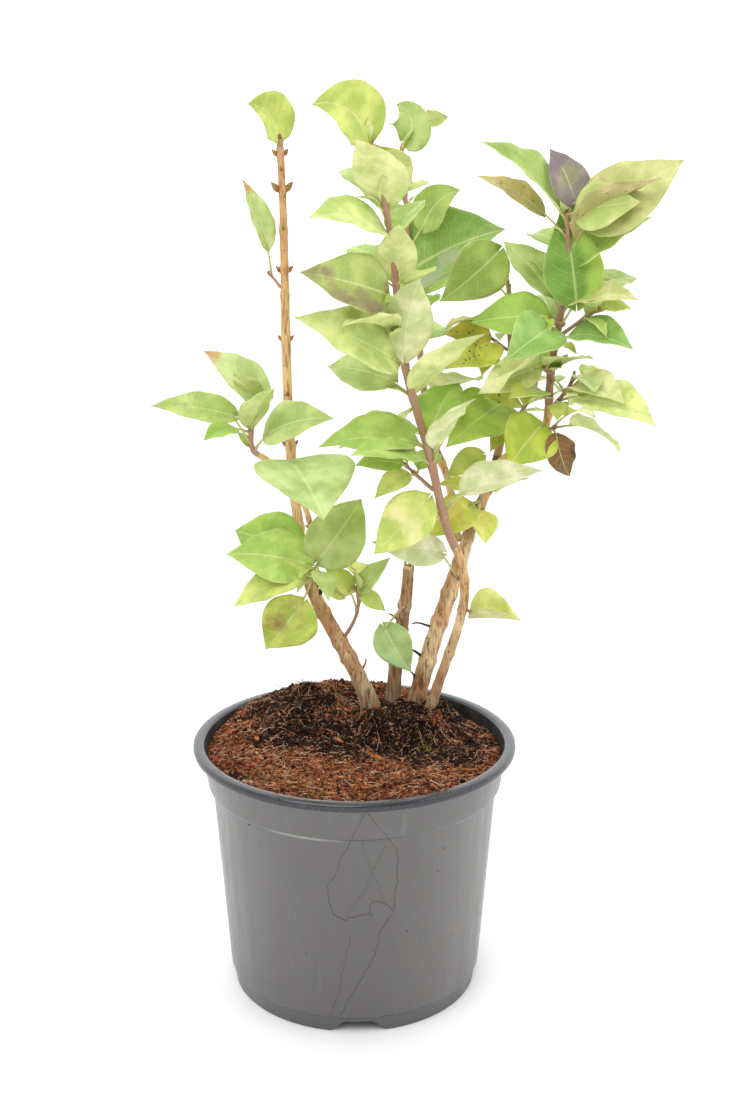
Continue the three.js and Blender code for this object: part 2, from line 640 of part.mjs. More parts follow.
function addMesh(name, solid, look) {
  const mesh = new THREE.Mesh(geometryOf(solid), new THREE.MeshStandardMaterial(look));
  mesh.name = name;
  plant.add(mesh);
}

const potSolid = makePot();
const rootBallSolid = makeRootBall();
addMesh('pot', potSolid, { color: 0x6f6b67, roughness: 0.45, metalness: 0 });
addMesh('root_ball', rootBallSolid, { color: 0x5a2f1c, roughness: 1, metalness: 0 });

const limbs = {};
let wood = potSolid.add(rootBallSolid);
for (const [name, stem] of Object.entries(stems)) {
  const curve = new THREE.CubicBezierCurve3(...stem.path.map(vector));
  limbs[name] = { curve, radius: stem.radius };
  const solid = makeLimb(curve, stem.radius, 9, 9, stem.flare);
  wood = wood.add(solid);
  addMesh(name, solid, bark);
}
for (const [name, bough] of Object.entries(boughs)) {
  const curve = growOn(limbs[bough.on], bough.at, bough.path, bough.radius[0]);
  limbs[name] = { curve, radius: bough.radius };
  const solid = makeLimb(curve, bough.radius, 8, 9);
  wood = wood.add(solid);
  addMesh(name, solid, bark);
}

const twigs = {};
for (const [name, shoot] of Object.entries(shoots)) {
  const radius = shoot.thick.map((width) => width / 2);
  const curve = growOn(limbs[shoot.on], shoot.at, shoot.path, radius[0]);
  limbs[name] = { curve, radius };
  twigs[name] = makeLimb(curve, radius, 6, 6);
}

// A leaf that would touch a limb, or a leaf of another shoot, is left out.
let grown = wood;
for (const [name, shoot] of Object.entries(shoots)) {
  let others = grown;
  for (const other of Object.keys(twigs)) {
    if (other !== name) others = others.add(twigs[other]);
  }
  let solid = twigs[name];
  for (const leaf of dealLeaves(shoot, limbs[name].curve)) {
    const hit = makeLeaf(leaf, 2 * clearance).intersect(others).volume();
    if (hit < 0.001) solid = solid.add(makeLeaf(leaf));
  }
  grown = grown.add(solid);
  addMesh(name, solid, twigBark);
}

// The origin lies on the ground, under the middle of the whole plant's bounding box.
const middle = new THREE.Box3().setFromObject(plant).getCenter(new THREE.Vector3());
plant.position.set(-middle.x, -middle.y, 0);
const part = new THREE.Group();
part.add(plant);

export default part;
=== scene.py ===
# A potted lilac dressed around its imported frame: bark, leaves, compost and pot.
import math
import random

import bmesh
import bpy
from mathutils import Matrix, Vector, noise


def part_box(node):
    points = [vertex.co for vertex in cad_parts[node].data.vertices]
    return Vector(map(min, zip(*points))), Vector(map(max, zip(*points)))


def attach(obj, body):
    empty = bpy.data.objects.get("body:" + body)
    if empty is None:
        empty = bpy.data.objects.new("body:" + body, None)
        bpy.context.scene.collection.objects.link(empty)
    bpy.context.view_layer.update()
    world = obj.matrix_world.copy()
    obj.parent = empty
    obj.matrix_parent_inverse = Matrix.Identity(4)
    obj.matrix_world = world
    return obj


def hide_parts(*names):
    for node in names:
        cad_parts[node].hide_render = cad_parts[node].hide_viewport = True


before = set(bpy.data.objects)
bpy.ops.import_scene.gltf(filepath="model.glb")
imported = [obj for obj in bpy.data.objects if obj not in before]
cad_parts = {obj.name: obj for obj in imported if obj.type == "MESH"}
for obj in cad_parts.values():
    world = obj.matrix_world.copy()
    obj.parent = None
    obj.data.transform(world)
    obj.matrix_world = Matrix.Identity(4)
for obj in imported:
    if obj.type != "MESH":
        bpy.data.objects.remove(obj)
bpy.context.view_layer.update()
scene = bpy.context.scene

# Everything is modelled in millimetres about the pot's own axis, and set in place when finished.
mm = 0.001
potLow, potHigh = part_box("pot")
potAxis = Vector(((potLow.x + potHigh.x) / 2, (potLow.y + potHigh.y) / 2, 0))
rimRadius = (potHigh.x - potLow.x) / 2 / mm


def mix(a, b, share):
    return a + (b - a) * share


def tone(red, green, blue):  # a colour as seen on screen, 0 to 255
    parts = [part / 255 for part in (red, green, blue)]
    return tuple(p / 12.92 if p < 0.04 else ((p + 0.055) / 1.055) ** 2.4 for p in parts) + (1.0,)


def compass(turn, out=1, height=0):  # a place so many degrees round from the x axis
    around = math.radians(turn)
    return Vector((out * math.cos(around), out * math.sin(around), height))


def heading(turn, rise):  # a direction by degrees round and degrees up
    around = math.radians(turn)
    up = math.radians(rise)
    return Vector((math.cos(up) * math.cos(around), math.cos(up) * math.sin(around), math.sin(up)))


def toMesh(name, bm):
    mesh = bpy.data.meshes.new(name)
    bm.to_mesh(mesh)
    bm.free()
    return mesh


def show(name, data):
    thing = bpy.data.objects.new(name, data)
    scene.collection.objects.link(thing)
    return thing


def setPiece(name, bm, materials, nodes):
    bm.transform(Matrix.Translation(potAxis) @ Matrix.Scale(mm, 4))
    mesh = toMesh(name, bm)
    for material in materials:
        mesh.materials.append(material)
    mesh.shade_smooth()
    piece = show(name, mesh)
    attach(piece, "root")
    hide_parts(*nodes)
    print(name, len(mesh.polygons), "faces")
    return piece


# The camera, the light and the floor.

studio = {
    "eye": (6.2, -834.3, 492.8),  # from the foot of the pot's axis
    "pitch": 15.24,
    "lens": 50,
    "sensor": 36,
    "daylight": 1.9,  # from the backdrop, which is brighter than white
    "behindCamera": 0.5,
    "fade": (-0.7, 0.8),  # where the one turns into the other
    "aim": (0, 0, 0.3),
    # each lamp's place and size in metres, and its power
    "lamps": {"key": ((-0.5, -0.9, 1.5), 1.2, 14), "fill": ((1.2, -0.5, 0.9), 1.0, 4.9)},
    "floor": (250, 250, 250),
    "floorReach": 4,
    "floorGap": 0.0002,
}


def setSky():
    world = bpy.data.worlds.new("studio")
    world.use_nodes = True
    nodes = world.node_tree.nodes
    links = world.node_tree.links
    sky = nodes["Background"]
    sky.inputs["Color"].default_value = (1, 1, 1, 1)
    room = nodes.new("ShaderNodeTexCoord")
    depth = nodes.new("ShaderNodeSeparateXYZ")
    fade = nodes.new("ShaderNodeMapRange")
    fade.interpolation_type = "SMOOTHSTEP"
    ends = (*studio["fade"], studio["behindCamera"], studio["daylight"])
    for name, value in zip(("From Min", "From Max", "To Min", "To Max"), ends):
        fade.inputs[name].default_value = value
    links.new(room.outputs["Generated"], depth.inputs[0])
    links.new(depth.outputs["Y"], fade.inputs["Value"])
    links.new(fade.outputs["Result"], sky.inputs["Strength"])
    scene.world = world


def setStudio():
    camera = show("camera", bpy.data.cameras.new("camera"))
    camera.data.lens = studio["lens"]
    camera.data.sensor_width = studio["sensor"]
    camera.data.clip_start = 0.01
    camera.location = potAxis + Vector(studio["eye"]) * mm
    camera.rotation_euler = (math.radians(90 - studio["pitch"]), 0, 0)
    scene.camera = camera
    scene.view_settings.view_transform = "Standard"
    setSky()
    for name, (place, size, power) in studio["lamps"].items():
        lamp = show(name, bpy.data.lights.new(name, "AREA"))
        lamp.data.size = size
        lamp.data.energy = power
        lamp.location = place
        aim = Vector(studio["aim"]) - lamp.location
        lamp.rotation_euler = aim.to_track_quat("-Z", "Y").to_euler()
    bm = bmesh.new()
    bmesh.ops.create_circle(bm, cap_ends=True, segments=64, radius=studio["floorReach"])
    bmesh.ops.translate(bm, vec=(0, 0, -studio["floorGap"]), verts=bm.verts)
    floor = show("floor", toMesh("floor", bm))
    white = Shader("floor", 0.7)
    white.dress("Base Color", studio["floor"])
    floor.data.materials.append(white.material)


class Shader:  # a surface whose colour is laid on in coats; a colour is a tone or a socket
    def __init__(self, name, roughness=0.6, base=None):
        self.material = bpy.data.materials.new(name)
        self.material.use_nodes = True
        self.nodes = self.material.node_tree.nodes
        self.links = self.material.node_tree.links
        self.skin = self.nodes["Principled BSDF"]
        self.place = self.node("TexCoord").outputs["Object"]
        self.colour = base
        self.dress("Roughness", roughness)

    def node(self, kind, **settings):
        node = self.nodes.new("ShaderNode" + kind)
        for key, value in settings.items():
            setattr(node, key, value)
        return node

    def feed(self, socket, value):
        if isinstance(value, bpy.types.NodeSocket):
            self.links.new(value, socket)
        else:
            socket.default_value = tone(*value) if isinstance(value, tuple) else value

    def dress(self, name, value):
        self.feed(self.skin.inputs[name], value)

    def coat(self, share, colour, strength=1, way="MIX"):  # one more colour over those before
        share = share if strength == 1 else self.times(share, strength)
        self.colour = self.blend(share, self.colour, colour, way)
        self.dress("Base Color", self.colour)

    def calc(self, operation, *values):
        node = self.node("Math", operation=operation)
        for socket, value in zip(node.inputs, values):
            self.feed(socket, value)
        return node.outputs[0]

    def times(self, first, second):
        return self.calc("MULTIPLY", first, second)

    def most(self, first, second):
        return self.calc("MAXIMUM", first, second)

    def between(self, value, low, high):  # 0 at low, 1 at high, smooth between
        node = self.node("MapRange", interpolation_type="SMOOTHSTEP")
        self.feed(node.inputs["Value"], value)
        self.feed(node.inputs["From Min"], low)
        self.feed(node.inputs["From Max"], high)
        return node.outputs["Result"]

    def rising(self, low, high):  # the same by height above the floor, in millimetres
        return self.between(self.apart(self.place)[2], low * mm, high * mm)

    def blend(self, share, first, second, way="MIX"):
        node = self.node("Mix", data_type="RGBA", blend_type=way)
        for socket, value in ((0, share), (6, first), (7, second)):
            self.feed(node.inputs[socket], value)
        return node.outputs[2]

    def noise(self, scale, detail=3, stretch=None):  # scale in patches a metre
        node = self.node("TexNoise")
        node.inputs["Scale"].default_value = scale
        node.inputs["Detail"].default_value = detail
        self.links.new(self.stretched(stretch), node.inputs["Vector"])
        return node.outputs["Fac"]

    def cells(self, scale, feature="F1", stretch=None):
        node = self.node("TexVoronoi", feature=feature)
        node.inputs["Scale"].default_value = scale
        self.links.new(self.stretched(stretch), node.inputs["Vector"])
        return node.outputs["Distance"]

    def stretched(self, stretch):
        if not stretch:
            return self.place
        node = self.node("Mapping")
        node.inputs["Scale"].default_value = stretch
        self.links.new(self.place, node.inputs["Vector"])
        return node.outputs[0]

    def attribute(self, name, output="Color"):
        return self.node("Attribute", attribute_name=name).outputs[output]

    def apart(self, vector):
        node = self.node("SeparateXYZ")
        self.links.new(vector, node.inputs[0])
        return node.outputs

    def bump(self, height, depth, strength=1.0):  # depth in millimetres
        node = self.node("Bump")
        node.inputs["Strength"].default_value = strength
        node.inputs["Distance"].default_value = depth * mm
        self.feed(node.inputs["Height"], height)
        self.dress("Normal", node.outputs[0])


barMesh = {"bud": (6, 5), "petiole": (8, 9), "fibre": (3, 4), "hair": (4, 6)}  # sides and rings


def newVerts(bm, before):  # the vertices made since the mesh had that many
    bm.verts.ensure_lookup_table()
    return bm.verts[before:]


def roundBar(bm, sides, rings):  # a closed bar of unit radius and length, cut into rings
    before = len(bm.verts)
    verts = bmesh.ops.create_cone(
        bm, cap_ends=True, segments=sides, radius1=1, radius2=1, depth=1)["verts"]
    uprights = {edge for vert in verts for edge in vert.link_edges
                if abs(edge.verts[0].co.z - edge.verts[1].co.z) > 0.5}
    bmesh.ops.subdivide_edges(bm, edges=list(uprights), cuts=rings - 1, use_grid_fill=True)
    return newVerts(bm, before)


class Curve:  # a cubic curve through space
    def __init__(self, *points):
        self.points = [Vector(point) for point in points]

    def at(self, share):
        a, b, c, d = self.points
        rest = 1 - share
        return (a * rest ** 3 + b * 3 * share * rest ** 2
                + c * 3 * share ** 2 * rest + d * share ** 3)

    def chord(self):
        return (self.points[3] - self.points[0]).length

    def along(self, share):
        step = 0.001
        low = max(0, share - step)
        high = min(1, share + step)
        return (self.at(high) - self.at(low)).normalized()


def bendBar(verts, rings, curve, radiusAt, reach=(0, 1)):
    # lays a round bar along a curve; reach goes past 0 or 1 where an end is sunk in its neighbour
    chord = (curve.at(1) - curve.at(0)).normalized()
    across = Vector((1, 0, 0)) if abs(chord.y) > 0.8 else Vector((0, 1, 0))
    stations = {}
    for vert in verts:
        ring = round((vert.co.z + 0.5) * rings)
        if ring not in stations:
            share = mix(reach[0], reach[1], ring / rings)
            inside = min(1, max(0, share))
            along = curve.along(inside)
            centre = curve.at(inside) + along * (share - inside) * curve.chord()
            side = along.cross(across).normalized()
            stations[ring] = (share, centre, side, side.cross(along) * -1)
        share, centre, side, other = stations[ring]
        out = side * vert.co.x + other * vert.co.y
        vert.co = centre + out * radiusAt(share, centre + out * 4)


def addBars(bm, sides, rings, bars):  # many small bars, each a curve and its width
    mesh = bpy.data.meshes.new("bars")
    for curve, width in bars:
        bar = bmesh.new()
        bendBar(roundBar(bar, sides, rings), rings, curve,
                lambda share, spot: width * mix(1, 0.45, share))
        bar.to_mesh(mesh)
        bar.free()
        bm.from_mesh(mesh)
    bpy.data.meshes.remove(mesh)


# The pot: its profile as radius and height, its cuts and its colours.
pot = {
    "lip": [(91.2, 150), (93.4, 149.7), (94.3, 148.8), (94.5, 147.2), (94.2, 145.8), (93.2, 145.1)],
    "collar": [(90.2, 144.9), (89.6, 144.2), (88.9, 143.4), (88.6, 142.2), (86.4, 127), (86.1, 125.6)],
    "wall": [(84.1, 124.6), (83.5, 123.4), (75, 11), (74.5, 10)],
    "foot": [(73.4, 9.2), (73.1, 8.4), (72.5, 0), (66, 0), (65.5, 7), (0, 7)],
    "inside": [(0, 9.2), (66, 9.2), (72.2, 13), (81.3, 123), (84, 127), (86.4, 143), (87.6, 148.6),
               (88.8, 149.8)],
    "turns": 160,
    "notches": 4,
    "notchTurn": 272,
    "notchWidth": 35,
    "notchTop": 16,
    "notchHeight": 6.5,
    "notchPlace": 70,
    "notchDepth": 12,
    "drains": 8,
    "drainRadius": 5,
    "drainRing": 50,
    "drainHeight": 8,
    "drainDepth": 12,
    "crisp": 0.6,  # edges sharper than this are rounded
    "bevel": 0.3,
    "skins": (144.6, 87, 60),  # the lip's lowest height, its least radius and the inner wall's
    "plastic": (65, 61, 58),
    "plasticDark": (56, 53, 51),
    # the foot, darker below its top edge
    "footDarker": (42, 40, 39),
    "lipPlastic": (40, 41, 47),
    "lipRub": (74, 76, 82),
    "scuff": (128, 125, 121),
    # the inner wall: soil stain, and painted shade inside the pot
    "dirt": (62, 52, 44),
    "innerShadeAndSoil": (38, 34, 32),
    # a painted highlight along the collar's step
    "stepHighlight": (176, 174, 170),
    # a painted highlight along the underside of the lip
    "lipEdgeHighlight": (188, 188, 188),
    "hairPale": (96, 91, 87),
    "hairDark": (80, 75, 71),
    "hairWidth": 0.16,
    "faintWidth": 0.1,
    "hairSides": 5,
    "hairStep": 2.5,
    "hairStray": 1.6,
    "speck": 0.6,
    "wallShine": 2.0,
    "lipShine": 1.55,
    "stepHighlightBand": (126.2, 125, 123.6, 122.5),  # heights where the painted highlight along the collar's step begins and is full
    "footLine": (10.2, 9),
    "lowGrime": (20, 0),
    "highGrime": (125, 143),
    "lipLine": (145.6, 144.9),
}

# hair roots stuck to the wall: degrees round from the front, and height
wallRoots = {
    "left": [(4, 143), (-1.2, 124), (-7.2, 102), (-10.2, 96), (-10, 86), (-8.2, 78), (-2.8, 74)],
    "leftDown": [(-1.5, 65), (-2.8, 55), (-5.5, 32), (-9.5, 14), (-10.5, 11)],
    "right": [(4.8, 143), (11.8, 128), (16.5, 116), (17.2, 98), (16.5, 82), (15.8, 78), (13.2, 83),
              (9, 86), (6.2, 82), (7.5, 76)],
    "link": [(-2.8, 74), (-2.2, 76), (6.5, 78)],
    "rightDown": [(15, 76), (10.5, 66), (9, 52), (3.2, 36), (-3.5, 20), (-6, 12)],
    "faint": [(3.2, 124), (6.5, 106), (12.2, 86)],
    "faintLow": [(12, 120), (6, 100), (2, 88), (-2.5, 77)],
}
wallSpecks = [(-44.2, 122), (36.8, 111), (35, 97), (22, 64), (-20, 50)]


def wallRadius(height):
    rings = sorted(pot["wall"] + pot["collar"], key=lambda ring: ring[1])
    for (lowRadius, low), (highRadius, high) in zip(rings, rings[1:]):
        if low <= height <= high:
            return mix(lowRadius, highRadius, (height - low) / (high - low))
    return rings[0][0]


def cutAway(bm, cutter):  # takes the cutter's body out of the first and returns what is left
    work = show("work", toMesh("work", bm))
    tool = show("cutter", toMesh("cutter", cutter))
    boolean = work.modifiers.new("cut", "BOOLEAN")
    boolean.operation = "DIFFERENCE"
    boolean.object = tool
    result = bmesh.new()
    result.from_object(work, bpy.context.evaluated_depsgraph_get())
    for thing in (work, tool):
        bpy.data.meshes.remove(thing.data)
    return result


def potPlastic():
    look = Shader("potPlastic", base=pot["plasticDark"])
    streaks = look.noise(150, 3, (1, 1, 0.04))
    look.coat(look.between(look.noise(9, 4), 0.35, 0.7), pot["plastic"])
    look.coat(look.between(streaks, 0.6, 0.85), pot["scuff"], 0.3)
    # a painted highlight along the collar's step, broken up by noise
    lineTop, lineMiddle, lineLow, lineFoot = pot["stepHighlightBand"]
    line = look.times(look.rising(lineFoot, lineLow), look.rising(lineTop, lineMiddle))
    stepHighlight = look.times(line, look.between(look.noise(22, 3), 0.4, 0.65))
    look.coat(stepHighlight, pot["stepHighlight"], 0.5)
    # the foot darker below its top edge
    look.coat(look.rising(*pot["footLine"]), pot["footDarker"], 0.6)
    ends = look.most(look.rising(*pot["lowGrime"]), look.rising(*pot["highGrime"]))
    grime = look.between(look.noise(420, 4), 0.55, 0.75)
    look.coat(look.times(grime, look.times(ends, 0.5)), pot["dirt"])
    look.coat(look.between(look.cells(150), 0.06, 0.03), pot["dirt"], 0.35)
    look.dress("Roughness", look.calc("MULTIPLY_ADD", look.between(streaks, 0.3, 0.8), 0.12, 0.26))
    look.dress("IOR", pot["wallShine"])
    look.bump(look.calc("ADD", look.noise(900, 2), look.times(streaks, 0.6)), 0.08, 0.4)
    return look.material


def lipPlastic():
    look = Shader("lipPlastic", base=pot["lipPlastic"])
    rubs = look.noise(240, 4, (1, 1, 3))
    look.coat(look.between(rubs, 0.55, 0.8), pot["lipRub"], 0.6)
    look.coat(look.between(look.cells(330), 0.14, 0.05), pot["dirt"], 0.4)
    # a painted highlight along the underside of the lip
    look.coat(look.rising(*pot["lipLine"]), pot["lipEdgeHighlight"], 0.7)
    look.dress("Roughness", look.calc("MULTIPLY_ADD", look.between(rubs, 0.3, 0.8), 0.2, 0.16))
    look.dress("IOR", pot["lipShine"])
    look.bump(look.noise(200, 3), 0.2, 0.4)
    return look.material


def makePot():
    bm = bmesh.new()
    profile = pot["lip"] + pot["collar"] + pot["wall"] + pot["foot"] + pot["inside"]
    verts = [bm.verts.new((radius, 0, height)) for radius, height in profile]
    edges = [bm.edges.new(pair) for pair in zip(verts, verts[1:] + verts[:1])
             if max(vert.co.x for vert in pair) > 0.1]
    bmesh.ops.spin(bm, geom=verts + edges, cent=(0, 0, 0), axis=(0, 0, 1), angle=math.tau,
                   steps=pot["turns"], use_merge=True)
    bmesh.ops.remove_doubles(bm, verts=bm.verts, dist=0.01)
    bmesh.ops.recalc_face_normals(bm, faces=bm.faces)
    cutter = bmesh.new()
    for number in range(pot["notches"]):
        wedge = bmesh.ops.create_cube(cutter, size=1)["verts"]
        for vert in wedge:
            half = (pot["notchTop"] if vert.co.z > 0 else pot["notchWidth"]) / 2
            out = pot["notchPlace"] + pot["notchDepth"] * vert.co.x
            vert.co = (out, 2 * half * vert.co.y, pot["notchHeight"] if vert.co.z > 0 else -1)
        turn = math.radians(pot["notchTurn"]) + number * math.tau / pot["notches"]
        bmesh.ops.rotate(cutter, verts=wedge, cent=(0, 0, 0), matrix=Matrix.Rotation(turn, 3, "Z"))
    for number in range(pot["drains"]):
        hole = bmesh.ops.create_cone(cutter, cap_ends=True, segments=20, depth=pot["drainDepth"],
                                     radius1=pot["drainRadius"], radius2=pot["drainRadius"])["verts"]
        turn = (number + 0.5) * math.tau / pot["drains"]
        place = Vector((math.cos(turn), math.sin(turn), 0)) * pot["drainRing"]
        bmesh.ops.translate(cutter, verts=hole, vec=place + Vector((0, 0, pot["drainHeight"])))
    bm = cutAway(bm, cutter)
    crisp = [edge for edge in bm.edges if edge.is_manifold and edge.calc_face_angle() > pot["crisp"]]
    bmesh.ops.bevel(bm, geom=crisp, offset=pot["bevel"], segments=2, profile=0.5, affect="EDGES",
                    material=-1)
    lipLow, lipInside, wallInside = pot["skins"]
    for vert in bm.verts:
        vert.co.z = max(0, vert.co.z)
    for face in bm.faces:
        centre = face.calc_center_median()
        out = math.hypot(centre.x, centre.y)
        inward = face.normal.x * centre.x + face.normal.y * centre.y < -0.5 * out
        onLip = centre.z > lipLow and out > lipInside
        face.material_index = 1 if onLip else 2 if inward and out > wallInside else 0
    # the inner wall darker: soil stain, and painted shade inside the pot
    innerShadeAndSoil = speckled("innerWallShadeAndSoil", pot["innerShadeAndSoil"], pot["plasticDark"], 160)
    setPiece("potShell", bm, [potPlastic(), lipPlastic(), innerShadeAndSoil], ["pot"])


def rootHair():
    look = Shader("rootHair", 0.8, pot["hairPale"])
    look.coat(look.noise(200), pot["hairDark"])
    return look.material


def addWallRoot(bm, first, last, width):  # a thin root that clings to the wall between two places
    verts = roundBar(bm, pot["hairSides"], max(2, int((last - first).length / pot["hairStep"])))
    along = (last - first).normalized()
    outward = (first + last).normalized()
    outward.z = 0
    side = along.cross(outward.normalized())
    for vert in verts:
        share = vert.co.z + 0.5
        centre = first.lerp(last, share)
        centre += side * noise.noise(centre * 0.12) * pot["hairStray"] * math.sin(math.pi * share)
        flat = Vector((centre.x, centre.y, 0)).normalized()
        flat *= wallRadius(centre.z) + width * 0.3
        centre = Vector((flat.x, flat.y, centre.z))
        vert.co = centre + (side * vert.co.x + outward * vert.co.y) * width


def makeWallRoots():
    bm = bmesh.new()
    for name, route in wallRoots.items():
        width = pot["faintWidth" if "faint" in name else "hairWidth"]
        points = [compass(turn - 90, wallRadius(height) + width * 0.3, height) for turn, height in route]
        for first, last in zip(points, points[1:]):
            addWallRoot(bm, first, last, width)
    for turn, height in wallSpecks:
        speck = bmesh.ops.create_icosphere(bm, subdivisions=1, radius=pot["speck"])["verts"]
        bmesh.ops.scale(bm, vec=(1, 0.6, 0.8), verts=speck)
        bmesh.ops.translate(bm, vec=compass(turn - 90, wallRadius(height), height), verts=speck)
    setPiece("wallRoots", bm, [rootHair()], ["pot"])


# The compost: its level, by places x and y from the pot's axis, and its colours.
compost = {
    "radius": 87.4,
    "squares": 180,
    "bottom": 128,
    "edge": 143,
    "heap": 15,
    "heapPlace": (-28, 48),
    "heapReach": 38,
    "clods": 3,
    "backTop": 154,
    "footRise": 4.5,
    "rightRise": 3.5,
    "sag": 7,
    "crown": 156,
    "crownPlace": (31, 28),
    "crownRadius": 25,
    "crownSlope": 1.35,
    "blend": 3,  # how softly the crown joins the rest
    "footPlace": (29, 27),
    "footReach": (30, 17),
    "backPlace": (5, 80),  # x, and the distance from the middle
    "backReach": (40, 15),
    "rightPlace": (72, 5),
    "rightReach": (30, 45),
    "rimTop": 147.2,  # the highest that it may lie at the pot's wall, and away from it
    "middleTop": 165,
    "rimBand": 12,
    "lumps": [(0.05, 1.8), (0.16, 1.6)],  # how often to the millimetre, and how high
    "wetness": 2.1,  # how black the root ball is
    "stray": 1.08,  # how readily crumbs and fibres lie outside their own damp
    "litterGap": 2.2,  # between the pot's wall and loose litter
    "fibreGap": 1.5,
    "rootGap": 4,
    "skirt": 0.95,  # how far in its side wall stands, below the edge
    "seed": 5,
    "peat": (78, 42, 28),
    "coir": (156, 92, 60),
    "black": (22, 15, 11),
    "fibre": (206, 158, 118),
}
# the old root ball stays black and damp between redder, fibrous compost: x, y, reach
rootBall = [(-38, 44, 32), (-38, 14, 30), (-12, 6, 29), (14, 0, 25), (42, -10, 25), (62, -12, 20),
            (74, 4, 14), (-70, -52, 14), (0, 60, 20), (30, 20, 24), (62, 22, 20)]


def bareHeight(x, y):  # the compost's level as the solids have it
    heapX, heapY = compost["heapPlace"]
    away = ((x - heapX) ** 2 + (y - heapY) ** 2) / compost["heapReach"] ** 2
    right = max(0, (x + y) / (2 * rimRadius))
    level = compost["edge"] + compost["heap"] * math.exp(-away) - compost["sag"] * right
    crownX, crownY = compost["crownPlace"]
    reach = math.hypot(x - crownX, y - crownY) - compost["crownRadius"]
    mound = compost["crown"] - max(0, reach) * compost["crownSlope"]
    soft = compost["blend"]
    near = 140  # both are measured from here, so that the powers stay small
    return soft * math.log(math.exp((level - near) / soft) + math.exp((mound - near) / soft)) + near


def damp(x, y):  # from 0, loose red compost, to 1, the black root ball
    wander = noise.noise(Vector((x, y, 90)) * 0.07) * 0.5 + noise.noise(Vector((x, y, 9)) * 0.25) * 0.4
    deepest = max(1 - math.hypot(x - spotX, y - spotY) / reach for spotX, spotY, reach in rootBall)
    return min(1, max(0, deepest * compost["wetness"] + wander))


def swell(x, y, place, reach, power=2):
    return math.exp(-((x - place[0]) / reach[0]) ** power - ((y - place[1]) / reach[1]) ** 2)


def soilHeight(x, y):
    spot = Vector((x, y, 0))
    lumps = sum(noise.noise(spot * often) * high for often, high in compost["lumps"])
    crumbs = abs(noise.noise(spot * 0.42)) * 2.6 + noise.noise(spot * 1.1) * 0.7 - 0.6
    edge = min(1, max(0, (compost["radius"] - spot.length) / 6))
    heapX, heapY = compost["heapPlace"]
    away = ((x - heapX) ** 2 + (y - heapY - 8) ** 2) / compost["heapReach"] ** 2
    clods = compost["clods"] * math.exp(-2 * away) * (1 + noise.noise(spot * 0.12))
    feet = compost["footRise"] * swell(x, y, compost["footPlace"], compost["footReach"])
    back = swell(x, spot.length, compost["backPlace"], compost["backReach"], 4) if y > 0 else 0
    bare = bareHeight(x, y)
    bare += max(0, compost["backTop"] - bare) * back
    right = compost["rightRise"] * swell(x, y, compost["rightPlace"], compost["rightReach"])
    level = bare + clods + feet + right + (lumps + crumbs) * mix(0.6, 1, edge)
    inside = min(1, max(0, (compost["radius"] - spot.length) / compost["rimBand"]))
    top = mix(compost["rimTop"], compost["middleTop"], inside)
    return min(level, top)


def compostLook():
    look = Shader("compostBed", 0.95, compost["peat"])
    look.dress("Specular IOR Level", 0.1)
    grains = look.noise(620, 4)
    fine = look.cells(1000)
    look.coat(look.between(grains, 0.38, 0.62), compost["coir"])
    uneven = look.calc("SUBTRACT", grains, 0.5)
    wet = look.calc("MULTIPLY_ADD", uneven, -1.2, look.attribute("damp", "Fac"))
    look.coat(look.between(wet, 0.25, 0.6), compost["black"])
    look.coat(look.between(look.noise(300, 5, (1, 2.6, 1)), 0.62, 0.7), compost["fibre"], 0.6)
    # painted shade: black laid in the pits between the fine grains, where the bump sinks
    look.coat(look.between(fine, 0.35, 0.7), compost["black"], 0.75)
    look.bump(look.calc("ADD", look.times(grains, 0.8), look.times(fine, -0.5)), 2.2)
    return look.material


def speckled(name, first, second, scale, stretch=None):
    look = Shader(name, 0.9, first)
    look.dress("Specular IOR Level", 0.15)
    grain = look.noise(scale, 4, stretch)
    look.coat(look.between(grain, 0.3, 0.7), second)
    look.bump(grain, 0.3, 0.7)
    return look.material


def makeCompost():
    bm = bmesh.new()
    wet = bm.verts.layers.float.new("damp")
    bmesh.ops.create_grid(bm, x_segments=compost["squares"], y_segments=compost["squares"], size=1)
    for vert in bm.verts:
        x, y = vert.co.x, vert.co.y
        x, y = x * math.sqrt(1 - y * y / 2), y * math.sqrt(1 - x * x / 2)
        x, y = x * compost["radius"], y * compost["radius"]
        vert.co = (x, y, soilHeight(x, y))
        vert[wet] = damp(x, y)
    rim = [edge for edge in bm.edges if edge.is_boundary]
    skirt = bmesh.ops.extrude_edge_only(bm, edges=rim)["geom"]
    for vert in skirt:
        if isinstance(vert, bmesh.types.BMVert):
            flat = Vector((vert.co.x, vert.co.y, 0)) * compost["skirt"]
            vert.co = (flat.x, flat.y, compost["bottom"])
    bottom = [edge for edge in bm.edges if edge.is_boundary]
    bmesh.ops.contextual_create(bm, geom=bottom)
    bmesh.ops.recalc_face_normals(bm, faces=bm.faces)
    setPiece("compostBed", bm, [compostLook()], ["root_ball"])


def strew(bm, template, place, turn, size):  # one copy of a small shape
    pose = Matrix.Translation(place) @ turn.to_matrix().to_4x4() @ Matrix.Diagonal(
        Vector(size).to_4d())
    template.transform(pose)
    bm.from_mesh(template)
    template.transform(pose.inverted())


def someSpot(dice, reach):
    around = dice.uniform(0, math.tau)
    out = reach * math.sqrt(dice.random())
    return out * math.cos(around), out * math.sin(around)


def tumbled(dice):
    return Vector((dice.uniform(-1, 1), dice.uniform(-1, 1), dice.uniform(-1, 1))).to_track_quat(
        "Z", "Y")


